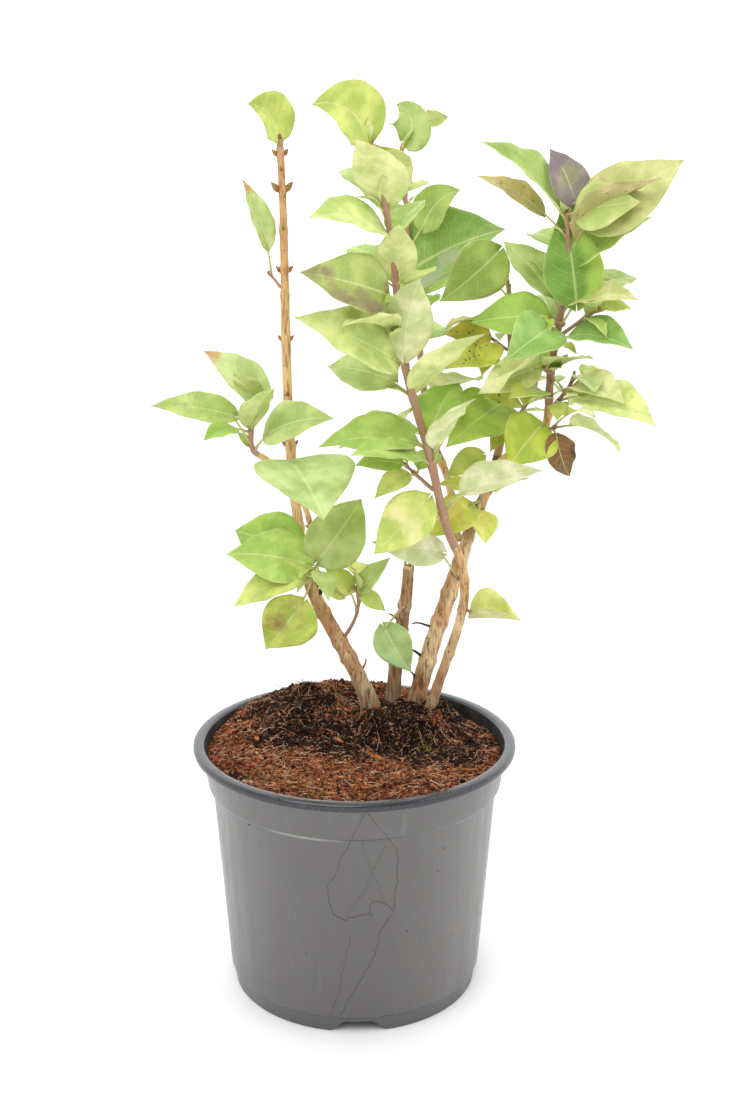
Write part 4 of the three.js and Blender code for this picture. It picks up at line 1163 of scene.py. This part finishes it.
# A shoot grows on from a limb's tip or side. Its leaves stand in opposite pairs at the given
# shares of its length, each pair a quarter turn on. A row such as 0a says what one leaf of the
# first pair does differently, and None leaves it out.
shoots = {
    "front_lower_leaves": {
        "on": "front_stem", "at": 1, "path": [[47, -4, 304], [40, -10, 328]], "thick": [5.2, 4.6],
        "seed": 11, "turn": 200, "lift": [20, 40], "pairs": [0.34, 0.79, 0.93],
        "0a": leaf(200, -45, 44, "butter", rise=88, roll=-55, stalk=14, broad=0.7),
        "0b": leaf(344, 33, 50, "creamBacklit", roll=-50, broad=0.55, stalk=20),
        "1a": leaf(220, 20, 44, "fresh", roll=-25),
        "1b": leaf(290, 50, 50, "creamBacklit", broad=0.45),
        "2a": leaf(190, 15, 52, "fresh", roll=-35, broad=0.6),
        "2b": leaf(70, 45, 46, "grass"),
    },
    "front_middle_leaves": {
        "on": "front_lower_leaves", "at": 1, "path": [[27, -15, 368], [25, -18, 391]],
        "thick": [4.6, 4.2], "seed": 12, "turn": 65, "lift": [35, 30], "pairs": [0.42, 0.7, 0.92],
        "0a": leaf(160, 20, 42, "sage", roll=-45, broad=0.75),
        "0b": leaf(330, 50, 54, "pale", broad=0.5, stalk=6, roll=-20),
        "1a": leaf(220, 30, 62, "palm", roll=-60, rise=0, stalk=10),
        "1b": leaf(265, 82, 50, "creamBacklit", broad=0.6, rise=-30, stalk=9, bend=20),
        "2a": leaf(230, 22, 40, "palm"),
        "2b": leaf(65, 30, 42, "grass"),
    },
    "front_top_leaves": {
        "on": "front_middle_leaves", "at": 1, "path": [[19, -23, 456], [9, -25, 487]],
        "thick": [4.2, 2.8], "seed": 13, "turn": 10, "lift": [25, 55],
        "pairs": [0.16, 0.22, 0.42, 0.64, 1],
        "0a": leaf(222, 20, 49, "plumPatch", rise=5, roll=-70, stalk=11, broad=0.7),
        "0b": leaf(70, 20, 38, "lime"),
        "1a": leaf(265, 75, 36, "lime", broad=0.62, stalk=6),
        "1b": leaf(120, 25, 40, "fresh"),
        "2a": leaf(220, 30, 46, "palm", rise=30, roll=-35, broad=0.75),
        "2b": leaf(65, 40, 36, "fresh"),
        "3a": leaf(230, 70, 42, "pale", stalk=5, broad=0.75),
        "3b": leaf(130, 35, 36, "sage", roll=-20),
        "4a": leaf(225, 60, 44, "lime", bend=75, droop=8, stalk=4, broad=0.8, roll=-90),
        "4b": leaf(50, -25, 30, "fresh"),
    },
    "back_leaves": {
        "on": "back_bough", "at": 1, "path": [[41, 63, 354], [37, 65, 381]], "thick": [4.4, 3.6],
        "seed": 21, "turn": 30, "lift": [15, 35], "pairs": [0.16, 0.47, 0.85],
        "1a": leaf(135, -45, 46, "lime"),
        "2a": leaf(65, 15, 40, "grass"),
        "2b": leaf(135, 20, 42, "fresh", roll=-30),
    },
    "back_top_leaves": {
        "on": "back_leaves", "at": 1, "path": [[31, 66, 449], [27, 68, 483]], "thick": [3.4, 2.2],
        "seed": 22, "turn": 50, "lift": [35, 50], "pairs": [0.1, 0.39, 0.45, 0.7, 1],
        "0b": {"turn": 135, "lift": 45, "look": "fresh"},
        "1a": leaf(330, 32, 60, "greyTop", rise=-85, roll=60, stalk=5, broad=0.95, droop=20),
        "1b": leaf(120, 50, 42, "sage"),
        "2a": leaf(325, 70, 36, "moss", rise=-15, roll=80, stalk=16, broad=0.72, bend=-60, droop=5),
        "2b": leaf(90, 25, 40, "fresh"),
        "3a": leaf(85, 20, 34, "lime"),
        "3b": leaf(135, 50, 30, "grass"),
        "4a": leaf(330, 31, 27, "sage", rise=43, roll=100, stalk=6, broad=1, bend=140, droop=5),
        "4b": leaf(340, 27, 18, "lime", rise=21, roll=-50, stalk=20),
    },
    "right_middle_leaves": {
        "on": "right_bough", "at": 1, "path": [[92, 44, 370], [88, 42, 410]], "thick": [5, 3],
        "seed": 31, "turn": 220, "lift": [0, 30], "pairs": [0.33, 0.53, 0.74, 0.92],
        "0a": leaf(240, -5, 54, "grassPale", roll=-30, stalk=8),
        "0b": leaf(45, 40, 42, "grass"),
        "1a": leaf(235, 15, 46, "blackSpecks", roll=-35),
        "1b": leaf(280, -15, 30, "blackSpecks"),
        "2a": leaf(210, 20, 40, "burnt"),
        "2b": leaf(65, -15, 40, "blackSpecks"),
        "3a": leaf(210, -40, 44, "mauveRim", rise=113, roll=-70, stalk=29, broad=0.75),
        "3b": leaf(120, 15, 34, "grass"),
    },
    "right_shoot_leaves": {
        "on": "right_shoot_bough", "at": 1, "path": [[122, 9, 413], [115, 7, 450]], "thick": [4.6, 2.6],
        "seed": 41, "turn": 190, "lift": [10, 60],
        "pairs": [0.04, 0.17, 0.33, 0.41, 0.49, 0.56, 0.64, 0.77, 0.88, 0.96, 1],
        "0a": leaf(240, 10, 34, "lime", roll=-20),
        "0b": leaf(60, -10, 30, "fresh"),
        "1a": leaf(225, 5, 42, "pale", roll=30),
        "1b": leaf(305, 30, 32, "palm", stalk=6),
        "2a": leaf(95, 30, 50, "moss", roll=-25),
        "2b": leaf(310, 9, 40, "blueGreen", rise=18, roll=25, stalk=15, broad=0.75),
        "3a": leaf(245, -5, 44, "blueGreen", roll=-35),
        "3b": leaf(300, 99, 52, "deep", rise=-52, roll=145, stalk=23, broad=0.66, droop=5),
        "4a": leaf(150, 48, 44, "sage", roll=-30),
        "4b": leaf(310, 25, 42, "olive", roll=25),
        "5a": leaf(25, 30, 42, "sage", rise=-15, roll=20),
        "5b": leaf(115, 35, 34, "grass"),
        "6a": leaf(340, 45, 46, "fresh", roll=40, stalk=16),
        "6b": leaf(45, -10, 34, "brownRim"),
        "7a": leaf(325, 50, 56, "amber", roll=-15, broad=0.55, stalk=18),
        "7b": leaf(115, 25, 36, "fresh"),
        "8a": leaf(190, 44, 41, "amber", rise=0, roll=-45, stalk=22, broad=0.45),
        "8b": leaf(65, 40, 40, "sage"),
        "9a": leaf(205, 50, 54, "moss", rise=0, roll=-38, broad=0.8),
        "9b": leaf(340, 39, 60, "olive", rise=-35, roll=70, stalk=13, broad=0.66),
        "10a": leaf(165, 73, 36, "plum", rise=57, roll=-60, stalk=8, broad=0.65),
        "10b": leaf(320, 15, 35, "palm", rise=0, roll=70, stalk=8, broad=0.8),
    },
    "right_low_leaves": {
        "on": "right_shoot_bough", "at": 0.93, "path": [[117, 18, 349], [122, 14, 355], [123, 12, 362]],
        "thick": [2.4, 1.8], "seed": 51, "turn": 300, "lift": [10, 30], "pairs": [0.1, 0.46, 0.86],
        "0a": leaf(312, 2, 50, "paleSpot", stalk=20, roll=20),
        "0b": leaf(265, -10, 16, "lime"),
        "1a": leaf(300, 15, 40, "pale", stalk=9, roll=20),
        "1b": leaf(105, 5, 26, "fresh"),
        "2a": leaf(40, 0, 30, "lime"),
        "2b": leaf(285, 0, 24, "sage"),
    },
    "right_foot_leaves": {
        "on": "right_shoot_bough", "at": 0.72, "path": [[111, 16, 330], [112, 12, 332], [112, 8, 333]],
        "thick": [2.6, 2], "seed": 52, "turn": 250, "lift": [-30, -30], "pairs": [0.5, 0.9],
        "0a": leaf(228, -25, 32, "acid", rise=44, roll=-45, stalk=10, broad=1.05),
        "0b": leaf(320, 0, 38, "sage", roll=-30),
        "1a": leaf(280, -55, 26, "dead", rise=30, stalk=8, bend=40, droop=60, crumple=3),
        "1b": leaf(45, 10, 26, "blackSpecks"),
    },
    "fork_leaves": {
        "on": "right_bough", "at": 0.4, "path": [[75, 35, 283], [74, 30, 288], [74, 24, 294]],
        "thick": [3.4, 2.4], "seed": 53, "turn": 350, "lift": [10, 30], "pairs": [0.52, 0.8, 1],
        "0a": leaf(290, -35, 22, "gold", rise=-85, stalk=10, broad=1),
        "0b": leaf(220, -23, 32, "gold", rise=10, roll=-40, stalk=10, broad=0.8),
        "1a": leaf(288, 30, 20, "yellowSpots", stalk=9),
        "1b": leaf(200, 28, 24, "gold", rise=0, roll=-30, stalk=4),
        "2a": leaf(345, 42, 21, "yellowSpots", rise=-50, stalk=9),
        "2b": leaf(200, -16, 25, "lime", rise=105, roll=-50, stalk=20),
    },
    "left_shoot_leaves": {
        "on": "left_bough", "at": 1, "path": [[-55, 12, 336], [-58, 12, 345]], "thick": [3.2, 2.4],
        "seed": 61, "turn": 200, "lift": [20, 50], "pairs": [0.12, 0.49, 0.94],
        "0a": leaf(190, 19, 48, "brownSpot", rise=42, roll=-50, stalk=24, broad=0.42),
        "0b": leaf(330, 35, 42, "sage", roll=45, stalk=14, broad=0.75),
        "1a": leaf(235, 5, 24, "grass", roll=-20),
        "1b": leaf(290, 55, 40, "sage", stalk=6, broad=0.5),
        "2a": leaf(165, 52, 47, "rustTip", rise=90, roll=-45, stalk=8, broad=0.5),
        "2b": leaf(245, 65, 26, "olive", stalk=4),
    },
    "heart_leaf": {
        "on": "left_bough", "at": 0.62, "path": [[-30, 16, 298], [-33, 12, 301], [-37, 7, 305]],
        "thick": [2.6, 2], "seed": 62, "turn": 270, "lift": [-30, -30], "pairs": [0.95],
        "0a": leaf(295, -15, 50, "mint", rise=80, broad=1.22, roll=0, stalk=10, bend=0),
        "0b": None,
    },
    "left_lower_leaves": {
        "on": "left_stem", "at": 0.93, "path": [[-23, 21, 246], [-22, 14, 249], [-23, 8, 250]],
        "thick": [3.2, 2.4], "seed": 63, "turn": 180, "lift": [0, 30], "pairs": [0.25, 0.5, 0.8],
        "0a": leaf(165, 15, 48, "grass", rise=40, roll=-70, stalk=14, broad=0.8),
        "0b": leaf(345, 52, 48, "sage", roll=105, stalk=8, broad=0.75, droop=70),
        "1a": leaf(185, 20, 48, "fresh", roll=-45, stalk=6, broad=0.8),
        "1b": leaf(285, -5, 26, "sage"),
        "2a": leaf(195, -10, 46, "lime", rise=-10, roll=-30, stalk=8),
        "2b": leaf(200, -50, 37, "limeSpot", rise=-18, roll=-80, stalk=21, broad=0.95),
    },
    "low_twig_leaves": {
        "on": "left_stem", "at": 0.44, "path": [[-1, 23, 212], [5, 20, 223], [1, 18, 235]],
        "thick": [2.4, 1.6], "seed": 64, "turn": 180, "lift": [20, 40], "pairs": [0.57, 0.85, 0.99],
        "0a": leaf(200, 55, 23, "lime", rise=18, roll=-60, stalk=14),
        "0b": leaf(350, -30, 18, "lime", rise=105, roll=60, stalk=12, broad=0.6),
        "1a": leaf(255, 80, 17, "yellowSpots", rise=0, roll=-60, stalk=8, broad=0.8),
        "1b": leaf(340, 55, 27, "sage", rise=21, roll=60, stalk=5, broad=0.55),
        "2a": leaf(195, 38, 18, "lime", rise=-60, roll=-60, stalk=8, broad=0.6),
        "2b": leaf(85, 15, 26, "blackSpecks"),
    },
    "stump_leaf": {
        "on": "stump", "at": 0.72, "path": [[28, 24, 222], [25, 18, 222], [25, 12, 221]],
        "thick": [2, 1.6], "seed": 65, "turn": 270, "lift": [-60, -60], "pairs": [0.9],
        "0a": leaf(330, -56, 33, "jade", rise=-78, roll=60, stalk=13, broad=0.7),
        "0b": None,
    },
    "yellow_leaf": {
        "on": "front_stem", "at": 0.62, "path": [[70, 8, 224], [71, 7, 224], [72, 6, 225]],
        "thick": [1.8, 1.6], "seed": 66, "turn": 0, "lift": [0, 0], "pairs": [0.2],
        "0a": leaf(350, 6, 28, "lemon", rise=-80, roll=30, stalk=4, broad=1.35, fold=65, droop=5),
        "0b": None,
    },
    "cream_leaf": {
        "on": "front_stem", "at": 0.8, "path": [[60, 8, 244], [59, 9, 245], [58, 9, 246]],
        "thick": [1.8, 1.6], "seed": 67, "turn": 180, "lift": [5, 5], "pairs": [0.3],
        "0a": leaf(195, 14, 42, "creamBacklit", rise=44, roll=-70, stalk=20, broad=0.5, droop=8),
        "0b": None,
    },
    "cane_tip_leaf": {
        "on": "left_cane", "at": 1, "path": [[-41, 40, 488], [-41, 39, 490]], "thick": [3.8, 3],
        "seed": 71, "turn": 90, "lift": [70, 70], "pairs": [0.5],
        "0a": leaf(235, 75, 34, "lime", bend=80, droop=5, stalk=3, broad=0.9, roll=-90, rise=0),
        "0b": None,
    },
    "cane_side_leaf": {
        "on": "left_cane", "at": 0.66, "path": [[-45, 37, 413], [-46, 36, 414], [-47, 36, 415]],
        "thick": [1.8, 1.6], "seed": 72, "turn": 190, "lift": [60, 60], "pairs": [1],
        "0a": leaf(200, 78, 40, "rustTip", rise=5, roll=-60, stalk=17, broad=0.45),
        "0b": None,
    },
}

# finer twigs within the reach of the mass they stand on, which the solids leave out
fineShoots = {
    "right_middle_side": {
        "on": "right_middle_leaves", "at": 0.26,
        "path": [[92, 38, 330], [95, 34, 336], [98, 30, 341]], "thick": [2.4, 1.6], "seed": 81,
        "turn": 250, "lift": [-10, 10], "pairs": [0.6, 0.95],
        "0a": leaf(235, -25, 26, "burnt", roll=-30, stalk=7),
        "0b": leaf(345, 15, 18, "yellowSpots", stalk=5),
        "1a": leaf(215, 25, 24, "blackSpecks", roll=-40, stalk=5),
        "1b": leaf(320, 30, 20, "yellowSpots", stalk=5),
    },
    "right_middle_high": {
        "on": "right_middle_leaves", "at": 0.66,
        "path": [[88, 37, 372], [84, 34, 376], [80, 32, 379]], "thick": [2.2, 1.6], "seed": 82,
        "turn": 200, "lift": [0, 20], "pairs": [0.9],
        "0a": leaf(195, 14, 26, "burnt", roll=-50, stalk=6),
        "0b": leaf(250, -20, 24, "yellowSpots", roll=-10, stalk=8),
    },
    "right_shoot_side": {
        "on": "right_shoot_leaves", "at": 0.12,
        "path": [[113, 17, 359], [110, 14, 363], [107, 12, 366]], "thick": [2.4, 1.6], "seed": 83,
        "turn": 200, "lift": [0, 20], "pairs": [0.95],
        "0a": leaf(196, -12, 36, "pale", roll=-50, stalk=6),
        "0b": leaf(290, 30, 22, "sage", stalk=5),
    },
    "right_shoot_left": {
        "on": "right_shoot_leaves", "at": 0.34,
        "path": [[116, 14, 389], [113, 13, 392], [110, 12, 394]], "thick": [2.2, 1.5], "seed": 86,
        "turn": 190, "lift": [0, 20], "pairs": [0.95],
        "0a": leaf(188, 2, 42, "grass", roll=-52, stalk=5),
        "0b": leaf(236, -26, 20, "grassPale", stalk=5),
    },
    "right_shoot_far": {
        "on": "right_shoot_leaves", "at": 0.36,
        "path": [[124, 10, 392], [129, 6, 396], [133, 3, 399]], "thick": [2.2, 1.5], "seed": 84,
        "turn": 340, "lift": [10, 20], "pairs": [0.5, 1],
        "0a": leaf(30, 35, 22, "sage", roll=40, stalk=6),
        "0b": leaf(300, -5, 20, "fresh", stalk=5),
        "1a": leaf(350, 12, 15, "lime", roll=45, stalk=5),
        "1b": leaf(250, 30, 18, "palm", stalk=4),
    },
    "front_lower_side": {
        "on": "front_lower_leaves", "at": 0.55,
        "path": [[38, -2, 305], [34, 0, 309], [30, 1, 312]], "thick": [2.4, 1.6], "seed": 85,
        "turn": 170, "lift": [0, 20], "pairs": [0.6, 1],
        "0a": leaf(215, -10, 24, "lime", roll=-35, stalk=6),
        "0b": leaf(60, 20, 26, "fresh", stalk=6),
        "1a": leaf(190, 15, 26, "grass", roll=-50, stalk=5),
        "1b": leaf(100, 35, 20, "lime", stalk=5),
    },
}
# small leaves beside the large ones, on shoots with more leaves than the number "beyond"
axil = {"share": 0.5, "size": (9, 17), "stalk": (3, 6), "leastLeaf": 25, "beyond": 5, "seed": 500}

blade = {
    "across": 12,
    "along": 18,
    "thickness": 0.3,
    "wave": 1.2,  # how far the margin ripples
    "quilt": 0.12,  # how far the skin rises between the veins
    "sideVeins": 7,
    "petiole": 0.75,
    "petioleStart": 0.4,  # its distance from the twig's middle
    "axilBud": 2.6,
    "tipBud": 3.2,
    "shade": (208, 220, 182),
    "light": (255, 255, 250),
    "net": (236, 240, 190),
    "vein": (234, 238, 182),
    "veinShade": (110, 140, 50),
    "rim": (222, 226, 160),
}


class Dice:
    def __init__(self, seed):
        self.state = seed

    def roll(self):
        self.state = (self.state * 1664525 + 1013904223) % 4294967296
        return self.state / 4294967296

    def about(self, middle, spread):
        return middle + (2 * self.roll() - 1) * spread


def dealLeaves(shoot, curve):
    dice = Dice(shoot["seed"])
    last = max(1, len(shoot["pairs"]) - 1)
    leaves = []
    for pair, at in enumerate(shoot["pairs"]):
        share = pair / last
        for side, letter in enumerate("ab"):
            leaf = {
                "turn": dice.about(shoot["turn"] + 90 * pair + 180 * side, usual["stray"]),
                "lift": dice.about(mix(*shoot["lift"], share), 8),
                "roll": dice.about(0, usual["sway"]),
                "stalk": dice.about(mix(*usual["stalk"], share), 2),
                "size": dice.about(mix(*usual["size"], share), 4),
                "broad": dice.about(usual["broad"], 0.05),
                "droop": dice.about(usual["droop"], 12),
                "fold": dice.about(usual["fold"], 6),
                "bend": dice.about(usual["bend"], 12),
                "rise": usual["rise"],
                "root": curve.at(at),
                "look": "fresh",
                "seed": shoot["seed"] + pair + side * 0.5,
            }
            own = shoot.get(str(pair) + letter, {})
            if own is not None:
                leaves.append({**leaf, **own})
    return leaves


def axilLeaves(shoot, leaves):  # young leaves in the axils of a long shoot's larger ones
    dice = Dice(shoot["seed"] + axil["seed"])
    young = []
    for leaf in leaves if len(leaves) > axil["beyond"] else []:
        if dice.roll() > axil["share"] or leaf["size"] < axil["leastLeaf"]:
            continue
        own = {
            "turn": dice.about(leaf["turn"], 50), "lift": dice.about(leaf["lift"] + 15, 20),
            "size": mix(*axil["size"], dice.roll()), "stalk": mix(*axil["stalk"], dice.roll()),
            "roll": dice.about(0, 40), "rise": 0, "bend": 0, "broad": dice.about(0.6, 0.1),
            "look": ("lime", "fresh", "palm")[int(dice.roll() * 3)], "seed": leaf["seed"] + 0.25,
        }
        young.append({**leaf, **own})
    return young


def halfWidth(share):
    return math.sin(math.pi * share ** 0.6) * (1 - 0.3 * share ** 8)


def leafFrame(leaf):
    turn = math.radians(leaf["turn"])
    roll = math.radians(leaf["roll"])
    foot = leaf["root"] + heading(leaf["turn"], leaf["lift"] + leaf["rise"]) * leaf["stalk"]
    along = heading(leaf["turn"], leaf["lift"])
    level = Vector((-math.sin(turn), math.cos(turn), 0))
    upright = along.cross(level)
    side = level * math.cos(roll) + upright * math.sin(roll)
    up = upright * math.cos(roll) - level * math.sin(roll)
    return {"foot": foot, "along": along, "side": side, "up": up}


def leafPoint(leaf, axes, share, across):
    droop, bend, fold = (math.radians(leaf[key]) for key in ("droop", "bend", "fold"))
    place = share - 0.1 * math.exp(-9 * share) * abs(across)

    def forward(at):
        return axes["along"] * math.cos(droop * at) - axes["up"] * math.sin(droop * at)

    chord = forward(place / 2) * math.cos(bend * place / 2) + axes["side"] * math.sin(bend * place / 2)
    sag = 1 - (droop * droop + bend * bend) * place * place / 24
    point = axes["foot"] + chord * (leaf["size"] * place * sag)
    side = axes["side"] * math.cos(bend * place) - forward(place) * math.sin(bend * place)
    up = axes["along"] * math.sin(droop * place) + axes["up"] * math.cos(droop * place)
    half = max(0.0, halfWidth(share)) * leaf["size"] * leaf["broad"] / 2
    width = max(blade["petiole"] * 0.6 * (1 - share), half) * across
    point += side * (width * math.cos(fold)) + up * (abs(width) * math.sin(fold))
    # ripples along the margin, and the skin quilted between its side veins
    wave = noise.noise(Vector((across * 1.1, share * 4.2, leaf["seed"] * 3.7)))
    ripple = math.sin(share * 21 + leaf["seed"] * 5 + (2 if across > 0 else 0))
    edge = abs(across) ** 2 * math.sin(math.pi * min(1, share * 1.05)) * leaf["size"] / 50
    lift = edge * blade["wave"] * leaf.get("crumple", 1) * (wave * 1.6 + ripple * 0.55)
    vein = (share - 0.22 * abs(across) ** 1.3) * blade["sideVeins"]
    lift += blade["quilt"] * (1 - abs(2 * (vein % 1) - 1)) * math.sin(math.pi * min(1, abs(across)))
    return point + up * lift


def leafSkin(name, under):
    look = Shader(name)
    look.dress("Specular IOR Level", 0.35)
    look.colour = look.attribute("under" if under else "tint")
    across, along = look.apart(look.node("UVMap", uv_map="leafMap").outputs[0])[:2]
    out = look.calc("ABSOLUTE", look.calc("MULTIPLY_ADD", across, 2, -1))
    clouds = look.noise(75, 3)
    light = look.blend(look.between(clouds, 0.35, 0.68), blade["shade"], blade["light"])
    look.coat(1.0, light, way="MULTIPLY")
    # a net of fine veins
    mesh = look.between(look.cells(620, "DISTANCE_TO_EDGE"), 0.1, 0.02)
    look.coat(mesh, blade["net"], 0.08)
    # side veins, and the midrib
    bow = look.times(look.calc("POWER", out, 1.3), 0.22)
    phase = look.times(look.calc("SUBTRACT", along, bow), blade["sideVeins"])
    away = look.calc("ABSOLUTE", look.calc("MULTIPLY_ADD", look.calc("FRACT", phase), 2, -1))
    side = look.times(look.between(away, 0.86, 0.97), look.between(out, 1.0, 0.55))
    wide = look.calc("SINE", look.times(look.calc("POWER", along, 0.6), math.pi))
    real = look.times(out, look.most(wide, 0.08))
    rib = look.between(real, look.calc("MULTIPLY_ADD", along, -0.05, 0.075), 0.012)
    veins = look.most(look.times(side, 0.14), look.times(rib, 0.42))
    look.coat(veins, blade["vein"])
    shade = look.times(look.between(away, 0.5, 0.85), look.between(away, 0.97, 0.85))
    look.coat(shade, blade["veinShade"], 0.1)
    # the second colour: in a patch, along the margin, at the tip, in specks, and as painted light over one
    # half
    patchy, specked, edged = look.apart(look.attribute("marks", "Vector"))
    patch = look.calc("ADD", look.noise(38, 4), look.times(patchy, 0.55))
    patch = look.times(look.between(patch, 0.72, 0.88), look.between(patchy, 0, 0.2))
    ragged = look.calc("MULTIPLY_ADD", look.noise(140, 3), 0.5, out)
    margin = look.times(look.between(ragged, 1.1, 1.3), edged)
    point = look.calc("MULTIPLY_ADD", look.noise(90, 3), 0.3, along)
    point = look.times(look.between(point, 0.86, 1.02), look.attribute("tipBurn", "Fac"))
    dots = look.between(look.cells(230), 0.24, 0.12)
    dots = look.times(look.times(dots, look.between(look.noise(60, 2), 0.7, 0.5)), specked)
    half = look.times(look.between(across, 0.64, 0.82), look.attribute("halfLit", "Fac"))
    spoiled = look.most(look.most(look.most(patch, half), margin), look.most(point, dots))
    look.coat(spoiled, look.attribute("second"), 0.85)
    look.coat(look.between(out, 0.93, 0.99), blade["rim"], 0.35)
    height = look.calc("MULTIPLY_ADD", mesh, -0.25, look.times(veins, -0.9))
    if under:
        height = look.times(height, -1.3)
    look.dress("Roughness", look.calc("MULTIPLY_ADD", clouds, 0.2, 0.42))
    look.bump(height, 0.5, 0.8)
    return look.material


def glow(colour):
    return tuple(min(0.9, part * more) for part, more in zip(tone(*colour), lit)) + (1,)


def addLeaf(bm, leaf, axes):
    verts = bmesh.ops.create_grid(
        bm, x_segments=blade["across"], y_segments=blade["along"], size=0.5)["verts"]
    faces = {face for vert in verts for face in vert.link_faces}
    uv = bm.loops.layers.uv["leafMap"]
    for face in faces:
        for loop in face.loops:
            loop[uv].uv = (loop.vert.co.x + 0.5, loop.vert.co.y + 0.5)
    look = looks[leaf["look"]]
    layers = bm.verts.layers
    tint = glow(look["face"])
    under = glow(look.get("under", underside))
    second = tone(*look.get("second", (150, 120, 70)))
    marks = (look.get("patch", 0), look.get("specks", 0.08), look.get("margin", 0.06))
    for vert in verts:
        share = vert.co.y + 0.5
        across = -vert.co.x * 2
        vert.co = leafPoint(leaf, axes, share, across)
        vert[layers.float_color["tint"]] = tint
        vert[layers.float_color["under"]] = under
        vert[layers.float_color["second"]] = second
        vert[layers.float_vector["marks"]] = marks
        vert[layers.float["tipBurn"]] = look.get("tip", 0)
        vert[layers.float["halfLit"]] = look.get("half", 0)


def addPetiole(bm, leaf, axes):
    foot = axes["foot"]
    root = leaf["root"]
    span = foot - root
    start = root + span * min(0.5, blade["petioleStart"] / span.length)
    swing = axes["up"] * span.length * 0.07
    curve = Curve(start, root.lerp(foot, 0.35) + swing, root.lerp(foot, 0.75) + swing * 0.5,
                  foot + axes["along"] * 1.2)
    sides, rings = barMesh["petiole"]
    verts = roundBar(bm, sides, rings)
    lay = bm.verts.layers.float_vector["wood"]
    for vert in verts:
        vert[lay] = (mix(0.12, 0.0, vert.co.z + 0.5), 0, 0)
    bendBar(verts, rings, curve, lambda share, spot: blade["petiole"] * (
        mix(0.95, 0.75, share) + 0.8 * math.exp(-9 * share)))


def leafMesh():
    bm = bmesh.new()
    bm.loops.layers.uv.new("leafMap")
    for layer in ("tint", "under", "second"):
        bm.verts.layers.float_color.new(layer)
    bm.verts.layers.float_vector.new("marks")
    bm.verts.layers.float.new("tipBurn")
    bm.verts.layers.float.new("halfLit")
    return bm


def addShoot(name, shoot, leafSkins, nodes):
    limb = bodies[name]
    curve = limb["curve"]
    blades = leafMesh()
    twig = bmesh.new()
    twig.verts.layers.float_vector.new("wood")
    addWood(twig, limb, (-grain["twigSink"] / curve.chord(), 1))
    buds = bmesh.new()
    along = curve.along(min(0.999, shoot["pairs"][0]))
    leaves = dealLeaves(shoot, curve)
    for leaf in leaves + axilLeaves(shoot, leaves):
        axes = leafFrame(leaf)
        addLeaf(blades, leaf, axes)
        addPetiole(twig, leaf, axes)
        out = (axes["foot"] - leaf["root"]).normalized()
        foot = leaf["root"] + out * limb["radius"][1] * 0.5 + along * 0.8
        addBud(buds, foot, along * 0.9 + out * 0.6, blade["axilBud"])
    addBud(buds, curve.at(1), curve.along(1), blade["tipBud"])
    foliage = setPiece(name + "_blades", blades, leafSkins, nodes)
    thicken = foliage.modifiers.new("thickness", "SOLIDIFY")
    thicken.thickness = blade["thickness"] * mm
    thicken.offset = -1
    thicken.material_offset = 1
    thicken.material_offset_rim = 1
    setPiece(name + "_twigs", twig, [bpy.data.materials["lilacBark"]], nodes)
    setPiece(name + "_buds", buds, [bpy.data.materials["budScale"]], nodes)


def makeShoots():
    leafSkins = [leafSkin("leafFace", False), leafSkin("leafUnderside", True)]
    for name, shoot in {**shoots, **fineShoots}.items():
        radius = [width / 2 for width in shoot["thick"]]
        curve = growOn(bodies[shoot["on"]], shoot["at"], shoot["path"], radius[0])
        bodies[name] = {"curve": curve, "radius": radius, "knots": shoot["pairs"], "age": [0.3, 0.12]}
    for name, shoot in shoots.items():
        addShoot(name, shoot, leafSkins, [name])
    for name, shoot in fineShoots.items():
        addShoot(name, shoot, leafSkins, [shoot["on"]])


setStudio()
makePot()
makeWallRoots()
makeCompost()
makeCrumbs()
makeFibres()
makeChips()
makeWood()
makeShoots()
